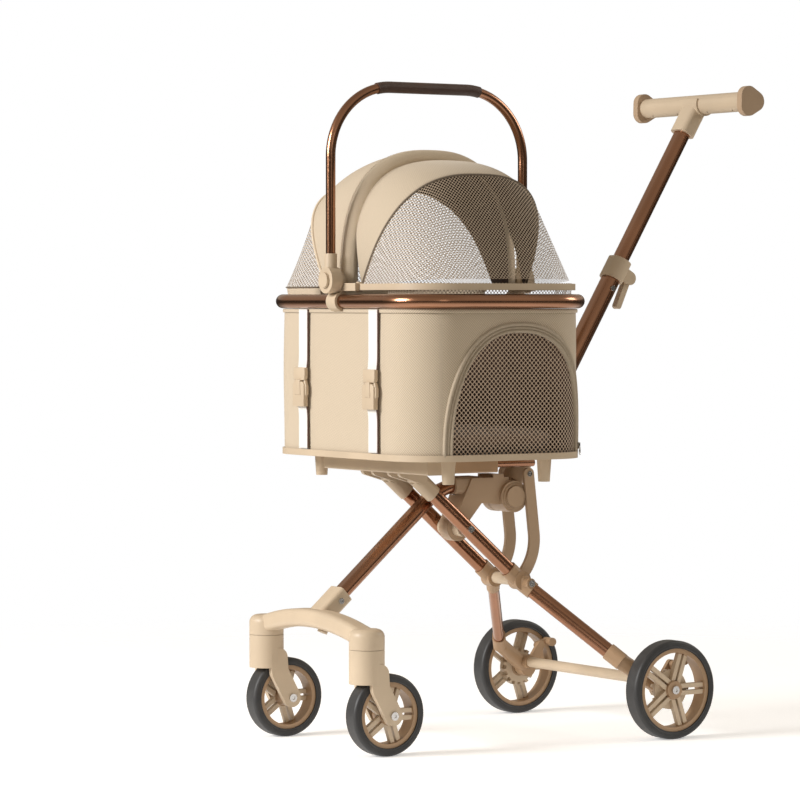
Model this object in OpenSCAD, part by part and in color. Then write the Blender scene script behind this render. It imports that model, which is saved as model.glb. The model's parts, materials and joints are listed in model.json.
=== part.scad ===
// Folding pet stroller with a lift-off carrier, an arch carry handle and a telescopic push handle.
// +Z is up, the front wheels are at -Y, and X = 0 is the middle plane. The origin is on the floor.

/* [Wheels] */
// Diameter of the rear wheels
rear_wheel_d = 155; // [135:1:186]
// Diameter of the front wheels
front_wheel_d = 125; // [105:1:150]
// Width of every tyre
tyre_w = 31; // [26:1:37]
// Radial thickness of every tyre
tyre_t = 12; // [9:0.5:14]
// Distance between the middles of the rear wheels
rear_track = 425; // [390:1:480]
// Distance between the middles of the front wheels
front_track = 296; // [250:1:320]
// Distance from the front axle to the rear axle
wheelbase = 490; // [480:1:520]
// Distance of the front axles behind their swivel pins
caster_trail = 32; // [27:1:38]
// Diameter of every wheel axle
axle_d = 8; // [6:0.1:10]

/* [Frame] */
// Distance of each upper rear leg from the middle plane
leg_x = 38; // [36:1:46]
// Depth of the leg tubes, seen from the side
leg_depth = 24; // [20:0.5:28]
// Thickness of the leg tubes, across the stroller
leg_thick = 17; // [14:0.5:18]
// Width of the front leg tube
front_leg_w = 30; // [24:0.5:34]
// Depth of the front leg tube
front_leg_d = 20; // [16:0.5:22]
// Height of the platform pivot above the floor
platform_pivot_z = 413; // [400:1:425]
// Diameter of the cross sleeve that the front frame turns on
cross_sleeve_d = 26; // [21:0.5:30]
// Diameter of the tube between the rear wheels
rear_cross_d = 17; // [14:0.5:20]
// Diameter of the swivel barrels
caster_barrel_d = 54; // [50:1:60]
// Diameter of the platform rails
rail_d = 13; // [10:0.5:14]

/* [Push handle] */
// Distance from the hub to the middle of the grip bar
handle_len = 739; // [700:1:900]
// Lean of the push handle from the vertical
handle_lean = 31.2; // [28:0.1:34]
// Width of the outer handle tube
outer_tube_w = 35; // [31:0.5:38]
// Depth of the outer handle tube
outer_tube_d = 26; // [22:0.5:28]
// Wall of the handle tubes
tube_wall = 1.5; // [1.3:0.1:2]
// Diameter of the hub cheeks
hub_d = 50; // [44:0.5:54]
// Diameter of the hub's pivot pin
hub_pin_d = 16; // [13:0.5:19]
// Diameter of the grip bar
grip_d = 32; // [27:0.5:38]
// Length of the grip bar without its end caps
grip_len = 268; // [223:1:322]

/* [Carrier] */
// Width of the carrier body, across the stroller
carrier_w = 448; // [400:1:538]
// Depth of the carrier body, front to back
carrier_depth = 329; // [274:1:350]
// Corner radius of the carrier body
carrier_corner_r = 80; // [50:1:90]
// Height of the fabric walls
carrier_wall_h = 225; // [187:1:270]
// Diameter of the rim tube
rim_d = 22; // [18:0.5:25]
// Diameter of the arch handle's tube
arch_d = 15; // [12:0.5:18]
// Height of the arch handle above its pivots
arch_h = 300; // [275:1:360]

/* [Hidden] */
$fn = 64;

// Colours
copper = [0.72, 0.43, 0.29];
cream = [0.92, 0.85, 0.74];
taupe = [0.69, 0.58, 0.46];
tan_c = [0.68, 0.53, 0.37];
black = [0.12, 0.12, 0.12];
steel = [0.75, 0.75, 0.76];
fabric_c = [0.91, 0.83, 0.69];
brown = [0.33, 0.22, 0.16];

// Fits and gaps
run_gap = 0.05;
side_gap = 0.4;
part_gap = 0.5;
soft_gap = 0.8;
slide_gap = 0.75;
eps = 0.01;
screw_hole_r = 2.5;
screw_hole_depth = 6.2;

// Side views are laid out from the rear axle (y = 0), then moved so that Y = 0 is mid-length.
hub_back = 170;
grip_cap_r = 25.5;
grip_cap_corner = 16;
grip_back = handle_len * sin(handle_lean) - hub_back + grip_cap_r;
row_shift = (wheelbase + front_wheel_d / 2 - grip_back) / 2;

rear_axle_y = row_shift;
rear_axle_z = rear_wheel_d / 2;
front_axle_y = rear_axle_y - wheelbase;
front_axle_z = front_wheel_d / 2;
caster_y = front_axle_y - caster_trail;
caster_seam_z = front_wheel_d + 38;
rear_wheel_x = rear_track / 2;
front_wheel_x = front_track / 2;

// Rear legs: platform pivot, leg joint and cross pivot, as [y, z]
platform_pivot = [rear_axle_y - 362, platform_pivot_z];
leg_joint = [rear_axle_y - 167, platform_pivot_z - 168];
joint_boss = leg_joint + [5, -4];
leg_run = platform_pivot - leg_joint;
leg_len = norm(leg_run);
leg_dir = leg_run / leg_len;
cross_pivot_run = 130;
cross_pivot = leg_joint + cross_pivot_run * leg_dir;
leg_inner_x = leg_x - leg_thick / 2;
sleeve_wall = 2;
disc_proud = 0.6;
disc_half = leg_thick / 2 + sleeve_wall + disc_proud;
leg_head_inset = 14;
leg_joint_inset = 11;
leg_joint_r = 15;
joint_boss_r = 8;
joint_boss_out = leg_thick / 2 + sleeve_wall + 16;
leg_sleeve_len = 28;
pivot_pin_r = 5;
leg_sleeve_up = (leg_depth / 2 + sleeve_wall) * -leg_dir.x;
rail_up = round(leg_sleeve_up + rail_d / 2 + side_gap + part_gap);
head_r = rail_up - rail_d / 2 - part_gap;

// Lower legs and axle brackets
bracket_in = 22.5;
lower_leg_end_in = 20;
bracket_back = 62;
bracket_up = 42.5;
bracket_face_x = rear_wheel_x - tyre_w / 2 - 1.5;
bracket_w = 20;
boss_r = 14;
web_inset = 3;
leg_foot = [rear_wheel_x - bracket_in - lower_leg_end_in, rear_axle_y - bracket_back,
    rear_axle_z + bracket_up];
leg_start = [leg_x, leg_joint.x, leg_joint.y];
lower_dir = (leg_foot - leg_start) / norm(leg_foot - leg_start);
lower_cross_r = 9.5;
rear_cross_at = [rear_axle_y - 5, rear_axle_z + 11];

// Brake levers, as [y, z] from the rear axle
brake_pivot = [26, 36];
brake_peg = [36, 0];
brake_pedal = [46, 41];
brake_pin_r = 3;
brake_peg_r = 2.4;
brake_angle = 8;
brake_ring_r = 31;
brake_teeth = 16;
brake_ring_t = 12;
brake_plate_t = 7;
brake_plate_w = 14;
brake_slot_depth = 8;
brake_tooth = [8, 6.4, brake_slot_depth + 1];
brake_lever_t = 8;
brake_peg_on = turned(brake_peg - brake_pivot, -brake_angle) + brake_pivot;
brake_tooth_turn = atan2(brake_peg_on.y, brake_peg_on.x);

// Wheels, along the axle from the wheel's middle plane
hub_r = 14;
rim_t = 7;
rim_w = tyre_w - 5;
spoke_from = 2;
brake_ring_x = rear_wheel_x + spoke_from - brake_ring_t;
spoke_to = 10;
spoke_w = 7;
spoke_apart = 11;
spokes = 5;
tread_corner = tyre_t / 2;

// Front frame
fork_leg_t = 9;
fork_gap = tyre_w / 2 + 2;
fork_r = 15;
beam_h = 28;
beam_w = 34;
beam_rise = 21;
beam_mid_z = caster_seam_z + 36;
beam_arc_r = (pow(front_wheel_x, 2) + pow(beam_rise, 2)) / (2 * beam_rise);
beam_angle = asin(front_wheel_x / beam_arc_r);
caster_pin_r = 6;
hub = [rear_axle_y - hub_back, platform_pivot_z - 36];
leg_level_z = hub.y + 20;
leg_corner = [hub.x - 120.7, leg_level_z];
leg_low = [caster_y + 6, beam_mid_z + 1];
leg_rise = atan2(leg_corner.y - leg_low.y, leg_corner.x - leg_low.x);
leg_bend_r = 100;
leg_tangent = leg_bend_r * tan(leg_rise / 2);
leg_bend_start = leg_corner - leg_tangent * [cos(leg_rise), sin(leg_rise)];
leg_tail = hub.x - 66;
leg_clear_of_beam = 22;
socket_len = 54;
casting_socket = 38;
cheek_x = 30;
knuckle_x = 13.9;
eye_r = cross_sleeve_d / 2 + 8;
button_r = hub_d / 2 - 8;
button_ring = 4;
button_ring_proud = 1.5;
button_travel = 3;

// Curved struts
strut_w = 19;
strut_t = 6;
rail_z = platform_pivot_z + rail_up;
strut_x = cheek_x + side_gap + strut_t / 2;
strut_top = [hub.x + hub_d / 2 - 2, rail_z - rail_d / 2 - strut_w / 2 - 2];
strut_knee = [hub.x + hub_d / 2 + 9, leg_joint.y + 73];
strut_run = (strut_knee - strut_top) / norm(strut_knee - strut_top);
strut_side = [strut_run.y, -strut_run.x];
strut_chord = leg_joint - strut_knee;
strut_arc_r = strut_chord * strut_chord / (2 * (strut_chord * strut_side));
strut_centre = strut_knee + strut_arc_r * strut_side;
strut_from = atan2(leg_joint.y - strut_centre.y, leg_joint.x - strut_centre.x);
strut_to = atan2(strut_knee.y - strut_centre.y, strut_knee.x - strut_centre.x);

// Push handle, along the handle from the hub
knuckle_from = hub_d / 2 + 1.5;
knuckle_to = 66;
outer_from = 36;
clamp_mid = 421;
clamp_h = 36;
inner_from = 262;
socket_from = handle_len - 57;
clamp_pin = [outer_tube_d / 2 + 13, clamp_mid];
clamp_pin_r = 3;
lever_len = 48;
lever_w = 12;
height_button_at = 386;
height_button_r = 4.5;
height_button_travel = 1.5;
height_button_in = height_button_travel + 0.1;
inner_tube_w = outer_tube_w - 2 * tube_wall - 2 * slide_gap;
inner_tube_d = outer_tube_d - 2 * tube_wall - 2 * slide_gap;
grip_wall = 3.5;
cap_t = 12;

// Platform
beam_bar_y = platform_pivot.x - 38;
platform_beam_len = 300;
platform_beam_w = 28;
platform_beam_h = 23;
lug_t = 7;
lug_in_x = leg_x - disc_half - side_gap;
lug_out_x = leg_x + disc_half + side_gap;
rail_end = hub.x + 29;
latch_len = 80;
latch_h = 27;
latch_w = 26;

// Carrier
latch_top_z = rail_z + latch_h / 2;
base_z = latch_top_z + part_gap;
tray_t = 5;
tray_lip = 5;
tray_proud = 2;
bag_t = 4;
bag_z = base_z + tray_t;
bag_top = bag_z + carrier_wall_h;
rim_z = bag_top + part_gap + rim_d / 2;
handle_gap = 4.2;
handle_front_y = hub.x + (base_z - hub.y) * tan(handle_lean) - outer_tube_d / 2 / cos(handle_lean);
carrier_y = handle_front_y - handle_gap - tray_proud - carrier_depth / 2;
rim_x = carrier_w / 2 + 1;
rim_v = carrier_depth / 2 + 1;
foot_h = 36;
foot_in_x = 41;
foot_in_y = 76;
foot_back = 5;
cushion_h = 40;
cushion_in = 12;

// Arch handle: v is the distance from the carrier's middle, to the front or the rear
arch_v = rim_v + 14;
arch_pivot_z = rim_z + rim_d / 2 + 21.5;
arch_disc_r = 20.5;
arch_lug_from = rim_v - 5;
arch_lug_to = arch_v - 10.1;
arch_disc_from = arch_lug_to + part_gap;
arch_disc_to = arch_v + 9.7;
arch_corner_r = 109;
arch_top_z = arch_pivot_z + arch_h;
arch_straight = arch_top_z - arch_corner_r;
arch_tube_from = arch_pivot_z + 19;
grip_sweep = 13;
clamp_half = 13;

// Canopy ribs: each arch is [x of its foot, tilt, height, squareness, half span]
hood_z = rim_z + rim_d / 2 + 11;
hinge_x = 46;
hinge_pin_r = 3;
hood_v = arch_lug_from - 2.5;
near_v = hood_v - 5;
hood_t = 3;
near_h = 197;
near_from = -18;
near_to = 26;
mesh_t = 1.5;
band_r = carrier_w / 2 - hinge_x;
band_w = 6;
band_v = arch_lug_from - 0.7 - band_w / 2;
band_h = 10;
band_eye_r = 8;
base_arch = [-hinge_x - 1, -90, band_r - 1, 5, hood_v];
far_arch = [-hinge_x - 1, -32, 188, 3.1, hood_v];
crown_arch = [5, 0, 212, 2.6, hood_v];
near_arch = [hinge_x, near_to + 3, near_h, 2.7, near_v];
band_arch = [hinge_x, 86, band_r - 8, 5, band_v - 8];
arch_steps = 30;
arch_ends = 5;
hood_steps = 6;

// Straps on the front wall
strap_x = 102;
strap_w = 26;
strap_t = 1.5;
buckle_h = 64;
buckle_w = 34;
buckle_t = 9;
buckle_mid_z = bag_z + 106;

// ---- Functions ----

function turned(p, a) = [p.x * cos(a) - p.y * sin(a), p.x * sin(a) + p.y * cos(a)];

function sq(v, n) = sign(v) * pow(abs(v), 2 / n);

// A point on a canopy arch, thinned by off towards the inside
function arch_pt(arch, t, off) =
    let (reach = (arch[2] - off) * sq(sin(t), arch[3]))
    [arch[0] + reach * sin(arch[1]), carrier_y - (arch[4] - off) * sq(cos(t), arch[3]),
        hood_z + reach * cos(arch[1])];

function mixed(a, b, k) = a + (b - a) * k;

function arch_angle(i) = arch_ends + (180 - 2 * arch_ends) * i / arch_steps;

function arch_row(arch, off) = [for (i = [0:arch_steps]) arch_pt(arch, arch_angle(i), off)];

// ---- Helper shapes ----

// Turns a flat shape drawn as (y, z) so that it stands in the side plane
module side() rotate([90, 0, 90]) children();

module mirrored() {
    children();
    mirror([1, 0, 0]) children();
}

module oval(w, d) {
    square([w - d, d], center = true);
    for (s = [-1, 1]) translate([s * (w - d) / 2, 0]) circle(d = d);
}

module rounded(w, d, r) {
    square([w - 2 * r, d], center = true);
    square([w, d - 2 * r], center = true);
    for (sx = [-1, 1], sy = [-1, 1])
        translate([sx * (w / 2 - r), sy * (d / 2 - r)]) circle(r);
}

// A flat bar with round ends between two points
module bar(p, q, w) {
    v = q - p;
    side_w = w - 2 * eps;
    translate(p) rotate(atan2(v.y, v.x)) translate([0, -side_w / 2]) square([norm(v), side_w]);
    translate(p) circle(d = w);
    translate(q) circle(d = w);
}

// Stands children on the line from p towards q
module along(p, q) {
    v = q - p;
    translate(p) rotate([0, acos(v.z / norm(v)), atan2(v.y, v.x)]) children();
}

// A pin across the stroller at the side-view point p, from x = a to x = b
module cross_pin(p, r, a, b) translate([a, p.x, p.y]) rotate([0, 90, 0]) cylinder(r = r, h = b - a);

module leg_section(grow = 0) oval(leg_depth + 2 * grow, leg_thick + 2 * grow);

module grooved_leg_section() {
    groove = 1.6;
    difference() {
        leg_section();
        for (s = [-1, 1]) translate([0, s * leg_thick / 2]) square([groove, groove], center = true);
    }
}

// The line of the left upper leg, from one run along it to another
module on_leg(a, b) {
    along([leg_x, leg_joint.x + a * leg_dir.x, leg_joint.y + a * leg_dir.y],
          [leg_x, platform_pivot.x, platform_pivot.y]) linear_extrude(b - a) children();
}

module on_lower_leg(a, b) along(leg_start + a * lower_dir, leg_foot) linear_extrude(b - a) children();

module on_handle() translate([0, hub.x, hub.y]) rotate([-handle_lean, 0, 0]) children();

module screw(r = 5.5) {
    shank = 6;
    head = 2.4;
    difference() {
        union() {
            cylinder(r = r, h = head);
            translate([0, 0, -shank]) cylinder(r = screw_hole_r, h = shank + eps);
        }
        translate([0, 0, head - 1.2]) cylinder(r = r / 2, h = 3, $fn = 6);
    }
}

module screw_hole() translate([0, 0, -screw_hole_depth]) cylinder(r = screw_hole_r, h = screw_hole_depth + 1);

// ---- Rear frame ----

module rear_legs() color(copper) mirrored() difference() {
    on_leg(leg_joint_inset, leg_len - leg_head_inset) grooved_leg_section();
    cross_screw_place() screw_hole();
}

module cross_screw_place() {
    translate([leg_x + leg_thick / 2, cross_pivot.x, cross_pivot.y]) rotate([0, 90, 0]) children();
}

module lower_legs() color(copper) mirrored() {
    on_lower_leg(leg_joint_inset, norm(leg_foot - leg_start)) grooved_leg_section();
}

module leg_heads() color(cream) mirrored() difference() {
    union() {
        on_leg(leg_len - leg_head_inset - leg_sleeve_len, leg_len) leg_section(sleeve_wall);
        cross_pin(platform_pivot, head_r, leg_x - disc_half, leg_x + disc_half);
    }
    on_leg(0, leg_len - leg_head_inset) leg_section();
    cross_pin(platform_pivot, pivot_pin_r + run_gap, 0, 2 * leg_x);
}

module leg_joints() color(tan_c) mirrored() difference() {
    union() {
        on_leg(0, leg_sleeve_len) leg_section(sleeve_wall);
        on_lower_leg(0, leg_sleeve_len) leg_section(sleeve_wall);
        cross_pin(leg_joint, leg_joint_r, leg_x - disc_half, leg_x + disc_half);
        cross_pin(joint_boss, joint_boss_r, leg_x, leg_x + joint_boss_out);
    }
    on_leg(leg_joint_inset, leg_len) leg_section();
    on_lower_leg(leg_joint_inset, 2 * leg_sleeve_len) leg_section();
    joint_screw_place() screw_hole();
}

module joint_screw_place() {
    translate([leg_x + joint_boss_out, joint_boss.x, joint_boss.y]) rotate([0, 90, 0]) children();
}

module upper_cross_sleeve() color(cream) {
    cross_pin(cross_pivot, cross_sleeve_d / 2, -leg_inner_x, leg_inner_x);
}

module lower_cross_tube() color(cream) {
    half = leg_x - disc_half;
    cross_pin(leg_joint, lower_cross_r, -half, half);
}

module rear_cross_tube() color(cream) {
    half = bracket_face_x - bracket_w;
    cross_pin(rear_cross_at, rear_cross_d / 2, -half, half);
}

module axle_brackets() color(tan_c) mirrored() difference() {
    union() {
        lower_len = norm(leg_foot - leg_start);
        on_lower_leg(lower_len - leg_sleeve_len, lower_len) leg_section(sleeve_wall);
        hull() {
            on_lower_leg(lower_len - web_inset, lower_len - 1) leg_section(sleeve_wall - 0.7);
            cross_pin([rear_axle_y, rear_axle_z], boss_r - web_inset, bracket_face_x - bracket_w + web_inset,
                bracket_face_x - web_inset);
        }
        cross_pin([rear_axle_y, rear_axle_z], boss_r, bracket_face_x - bracket_w, bracket_face_x);
        cross_pin(rear_cross_at, rear_cross_d / 2 + 3, bracket_face_x - bracket_w - 14,
            bracket_face_x - bracket_w / 2);
        translate([bracket_face_x - bracket_w, rear_axle_y, rear_axle_z]) side()
            linear_extrude(brake_plate_t) bar([0, 0], brake_pivot, brake_plate_w);
        translate([0, rear_axle_y, rear_axle_z])
            cross_pin(brake_pivot, brake_pin_r, bracket_face_x - bracket_w, bracket_face_x - 2);
    }
    on_lower_leg(0, norm(leg_foot - leg_start)) leg_section();
    cross_pin(rear_cross_at, rear_cross_d / 2, 0, bracket_face_x - bracket_w);
    cross_pin([rear_axle_y, rear_axle_z], axle_d / 2, bracket_face_x - bracket_w + 2, rear_wheel_x);
}

module rear_axles() color(steel) mirrored() {
    axle_end = rear_wheel_x + rim_w / 2 + side_gap;
    cross_pin([rear_axle_y, rear_axle_z], axle_d / 2, bracket_face_x - bracket_w + 2, axle_end);
    translate([axle_end - eps, rear_axle_y, rear_axle_z]) rotate([0, 90, 0]) axle_head();
}

module axle_head() difference() {
    cylinder(r = 6.5, h = 3);
    translate([0, 0, 1.5]) cylinder(r = 3.2, h = 3, $fn = 6);
}

// A strut seen from the side: a straight head, then a bow down to the leg joint
module strut_profile() {
    reach = 2 * strut_arc_r;
    difference() {
        union() {
            bar(strut_top, strut_knee, strut_w);
            intersection() {
                translate(strut_centre) difference() {
                    circle(strut_arc_r + strut_w / 2 - eps);
                    circle(strut_arc_r - strut_w / 2 + eps);
                }
                polygon([strut_centre, strut_centre + reach * [cos(strut_from), sin(strut_from)],
                    strut_centre + reach * [cos(strut_to), sin(strut_to)]]);
            }
        }
        translate(leg_joint) circle(leg_joint_r + run_gap);
        bar(leg_joint, leg_joint + leg_sleeve_len * leg_dir, leg_depth + 2 * sleeve_wall + 2 * run_gap);
    }
}

module curved_struts() color(taupe) mirrored() difference() {
    translate([strut_x - strut_t / 2, 0, 0]) side() linear_extrude(strut_t) strut_profile();
    strut_screw_place() screw_hole();
}

module strut_screw_place() {
    translate([strut_x + strut_t / 2, strut_top.x, strut_top.y]) rotate([0, 90, 0]) children();
}

module frame_screws() color(steel) mirrored() {
    cross_screw_place() screw();
    joint_screw_place() screw();
    strut_screw_place() screw(4.5);
}

// ---- Wheels ----

// Places a wheel's own axis (local +Z points outwards) on the left or right of the stroller
module wheel_place(s, x, y, z) translate([s * x, y, z]) rotate([0, s * 90, 0]) children();

module tyre(r) rotate_extrude() translate([r - tyre_t, 0]) {
    flat = tyre_w - 2 * tread_corner;
    translate([0, -tyre_w / 2]) square([tyre_t - tread_corner, tyre_w]);
    translate([0, -flat / 2]) square([tyre_t, flat]);
    for (s = [-1, 1]) translate([tyre_t - tread_corner, s * flat / 2]) circle(tread_corner);
}

module wheel_rim(r) {
    rim_r = r - tyre_t;
    rotate_extrude() translate([rim_r - rim_t, -rim_w / 2]) square([rim_t, rim_w]);
    translate([0, 0, spoke_from]) linear_extrude(spoke_to - spoke_from) difference() {
        for (i = [0:spokes - 1]) rotate(90 + i * 360 / spokes) for (s = [-1, 1])
            translate([0, s * spoke_apart / 2 - spoke_w / 2]) square([rim_r - rim_t / 2, spoke_w]);
        circle(hub_r - 1);
    }
    difference() {
        translate([0, 0, -rim_w / 2]) cylinder(r = hub_r, h = rim_w);
        cylinder(r = axle_d / 2 + run_gap, h = 2 * rim_w, center = true);
    }
}

module brake_ring(s) translate([0, 0, spoke_from - brake_ring_t]) difference() {
    cylinder(r = brake_ring_r, h = brake_ring_t + eps);
    cylinder(r = hub_r - 1, h = 3 * brake_ring_t, center = true);
    for (i = [0:brake_teeth - 1])
        rotate((s > 0 ? 90 : -90) + s * brake_tooth_turn + i * 360 / brake_teeth)
            translate([brake_ring_r - 5, -brake_tooth.y / 2, -1]) cube(brake_tooth);
}

module rear_tyre(s) color(black)
    wheel_place(s, rear_wheel_x, rear_axle_y, rear_axle_z) tyre(rear_wheel_d / 2);

module rear_rim(s) color(tan_c) wheel_place(s, rear_wheel_x, rear_axle_y, rear_axle_z) {
    wheel_rim(rear_wheel_d / 2);
    brake_ring(s);
}

module brake_lever(s) color(tan_c) mirror([s > 0 ? 0 : 1, 0, 0])
    translate([0, rear_axle_y, rear_axle_z]) difference() {
        union() {
            lever_from = bracket_face_x - bracket_w + brake_plate_t + side_gap;
            translate([lever_from, 0, 0]) side() linear_extrude(brake_lever_t) {
                bar(brake_peg, brake_pivot, 10);
                bar(brake_pivot, brake_pedal, 11);
            }
            cross_pin(brake_pedal, 7, lever_from - 12, lever_from + brake_lever_t + 1);
            cross_pin(brake_peg, brake_peg_r, lever_from + 1, brake_ring_x + brake_slot_depth - side_gap);
        }
        cross_pin(brake_pivot, brake_pin_r + run_gap, 0, rear_wheel_x);
    }

module front_tyre(s) color(black)
    wheel_place(s, front_wheel_x, front_axle_y, front_axle_z) tyre(front_wheel_d / 2);

module front_rim(s) color(tan_c)
    wheel_place(s, front_wheel_x, front_axle_y, front_axle_z) wheel_rim(front_wheel_d / 2);

// ---- Front frame ----

module front_section(grow = 0) rotate(90) oval(front_leg_w + 2 * grow, front_leg_d + 2 * grow);

module front_leg_tube() {
    start = leg_low + leg_clear_of_beam * [cos(leg_rise), sin(leg_rise)];
    along([0, start.x, start.y], [0, leg_bend_start.x, leg_bend_start.y])
        linear_extrude(norm(leg_bend_start - start)) front_section();
    translate([0, leg_bend_start.x + leg_bend_r * sin(leg_rise), leg_level_z - leg_bend_r]) side()
        rotate(90) rotate_extrude(angle = leg_rise) translate([leg_bend_r, 0]) front_section();
    translate([0, leg_corner.x + leg_tangent, leg_level_z]) rotate([-90, 0, 0])
        linear_extrude(leg_tail - leg_corner.x - leg_tangent) oval(front_leg_w, front_leg_d);
}

module front_leg() color(copper) difference() {
    front_leg_tube();
    leg_screw_place() screw_hole();
    casting_screw_place() screw_hole();
}

module leg_screw_place() {
    at = leg_low + (leg_clear_of_beam + 16) * [cos(leg_rise), sin(leg_rise)];
    translate([front_leg_w / 2 + 4, at.x, at.y]) rotate([0, 90, 0]) children();
}

module front_crossbar() color(cream) difference() {
    union() {
        translate([0, caster_y, beam_mid_z - beam_arc_r]) rotate([90, 0, 0])
            rotate([0, 0, 90 - beam_angle]) rotate_extrude(angle = 2 * beam_angle)
                translate([beam_arc_r, 0]) rotate(90) rounded(beam_w, beam_h, 9);
        mirrored() translate([front_wheel_x, caster_y, 0]) caster_cup();
        along([0, leg_low.x, leg_low.y], [0, leg_corner.x, leg_corner.y])
            linear_extrude(socket_len) rotate(90) rounded(front_leg_w + 8, front_leg_d + 8, 6);
        translate([0, caster_y + 12, beam_mid_z - beam_h / 2 - 9]) rotate([-25, 0, 0])
            cylinder(r = 8, h = 16);
    }
    along([0, leg_low.x, leg_low.y], [0, leg_corner.x, leg_corner.y])
        translate([0, 0, leg_clear_of_beam]) linear_extrude(2 * socket_len) front_section();
    mirrored() translate([front_wheel_x, caster_y, caster_seam_z - 1]) cylinder(r = caster_pin_r, h = 24);
    leg_screw_place() screw_hole();
}

// The cup over each swivel, with a rounded shoulder
module caster_cup() {
    r = caster_barrel_d / 2;
    shoulder = 12;
    top = caster_seam_z + 31;
    cylinder_top = top - shoulder;
    translate([0, 0, caster_seam_z]) cylinder(r = r, h = cylinder_top - caster_seam_z);
    rotate_extrude() {
        translate([0, cylinder_top - eps]) square([r - shoulder, shoulder + eps]);
        intersection() {
            translate([r - shoulder, cylinder_top]) circle(shoulder);
            translate([0, cylinder_top - eps]) square([r, shoulder + 1]);
        }
    }
}

module caster_pins() color(steel) mirrored() {
    translate([front_wheel_x, caster_y, caster_seam_z - 20]) cylinder(r = caster_pin_r, h = 43);
}

module caster_fork(s) color(cream) translate([s * front_wheel_x, 0, 0]) difference() {
    bottom = front_wheel_d - 14;
    axle = [front_axle_y, front_axle_z];
    union() {
        translate([0, caster_y, bottom]) cylinder(d = caster_barrel_d, h = caster_seam_z - part_gap - bottom);
        mirrored() translate([fork_gap, 0, 0]) side() linear_extrude(fork_leg_t) {
            knee = [caster_y + caster_trail * 0.3, front_axle_z + 42];
            bar([caster_y + 8, bottom + 16], knee, 2 * fork_r);
            bar(knee, axle, 2 * fork_r);
        }
    }
    cross_pin(axle, front_wheel_d / 2 + 3, -fork_gap, fork_gap);
    cross_pin(axle, axle_d / 2, -2 * fork_gap, 2 * fork_gap);
    translate([0, caster_y, caster_seam_z - 22]) cylinder(r = caster_pin_r + run_gap, h = 30);
}

module front_axle(s) color(steel) translate([s * front_wheel_x, front_axle_y, front_axle_z]) {
    outside = fork_gap + fork_leg_t;
    rotate([0, 90, 0]) cylinder(d = axle_d, h = 2 * outside, center = true);
    mirrored() translate([outside - eps, 0, 0]) rotate([0, 90, 0]) axle_head();
}

module main_casting() color(taupe) difference() {
    union() {
        translate([-22, 0, 0]) side() linear_extrude(44) casting_web();
        cross_pin(cross_pivot, eye_r, -12, 12);
        cross_pin(hub, hub_d / 2, button_ring_proud - cheek_x, cheek_x - button_ring_proud);
        cross_pin(hub, button_r + button_ring, -cheek_x, cheek_x);
        translate([0, leg_tail - casting_socket, leg_level_z]) rotate([-90, 0, 0])
            linear_extrude(casting_socket + 6) rounded(front_leg_w + 8, front_leg_d + 7, 6);
    }
    front_leg_tube();
    cross_pin(cross_pivot, cross_sleeve_d / 2 + run_gap, -leg_x, leg_x);
    difference() {
        cross_pin(hub, hub_d / 2 + 1.5, -knuckle_x - side_gap, knuckle_x + side_gap);
        cross_pin(hub, hub_pin_d / 2, -cheek_x, cheek_x);
    }
    mirrored() cross_pin(hub, button_r + 0.1, cheek_x - button_travel - 3, cheek_x + 9);
    casting_screw_place() screw_hole();
}

module casting_web() {
    polygon([
        [leg_tail - 10, leg_level_z + 11], [hub.x - 6, leg_level_z + 11], [hub.x - 6, hub.y - 8],
        [hub.x - 20, hub.y - 12], [hub.x - 58, hub.y - 9], cross_pivot + [13, 10],
        cross_pivot + [-14, 8], [leg_tail - 22, leg_level_z - 12]
    ]);
    translate([hub.x - 36, leg_level_z + 10]) square([20, 6]);
}

module casting_screw_place() {
    translate([0, leg_tail - casting_socket + 7, leg_level_z - front_leg_d / 2 - 3.5]) rotate([180, 0, 0])
        children();
}

module front_screws() color(steel) {
    leg_screw_place() screw(4.5);
    casting_screw_place() screw(4.5);
}

module hub_button(s) color(taupe) mirror([s > 0 ? 0 : 1, 0, 0]) {
    cross_pin(hub, button_r, cheek_x - 2.5, cheek_x + 4);
}

// ---- Push handle ----

module handle_knuckle() color(taupe) on_handle() difference() {
    union() {
        rotate([0, 90, 0]) cylinder(d = hub_d - 1, h = 2 * knuckle_x, center = true);
        translate([-knuckle_x, -12, 0]) cube([2 * knuckle_x, 24, knuckle_from + 3]);
        translate([0, 0, knuckle_from]) linear_extrude(knuckle_to - knuckle_from)
            oval(outer_tube_w + 5, outer_tube_d + 5);
    }
    rotate([0, 90, 0]) cylinder(d = hub_pin_d + 2 * run_gap, h = 4 * knuckle_x, center = true);
    translate([0, 0, outer_from]) linear_extrude(knuckle_to) oval(outer_tube_w, outer_tube_d);
}

module tube_with_groove(w, d) difference() {
    oval(w, d);
    for (s = [-1, 1]) translate([s * w / 2, 0]) square([1.4, 1.6], center = true);
}

module handle_outer_tube() color(copper) on_handle() difference() {
    translate([0, 0, outer_from]) linear_extrude(clamp_mid - outer_from)
        tube_with_groove(outer_tube_w, outer_tube_d);
    translate([0, 0, outer_from + 3]) linear_extrude(clamp_mid)
        oval(outer_tube_w - 2 * tube_wall, outer_tube_d - 2 * tube_wall);
    translate([0, 0, height_button_at]) rotate([0, 90, 0])
        cylinder(r = height_button_r + run_gap, h = outer_tube_w);
}

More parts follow.
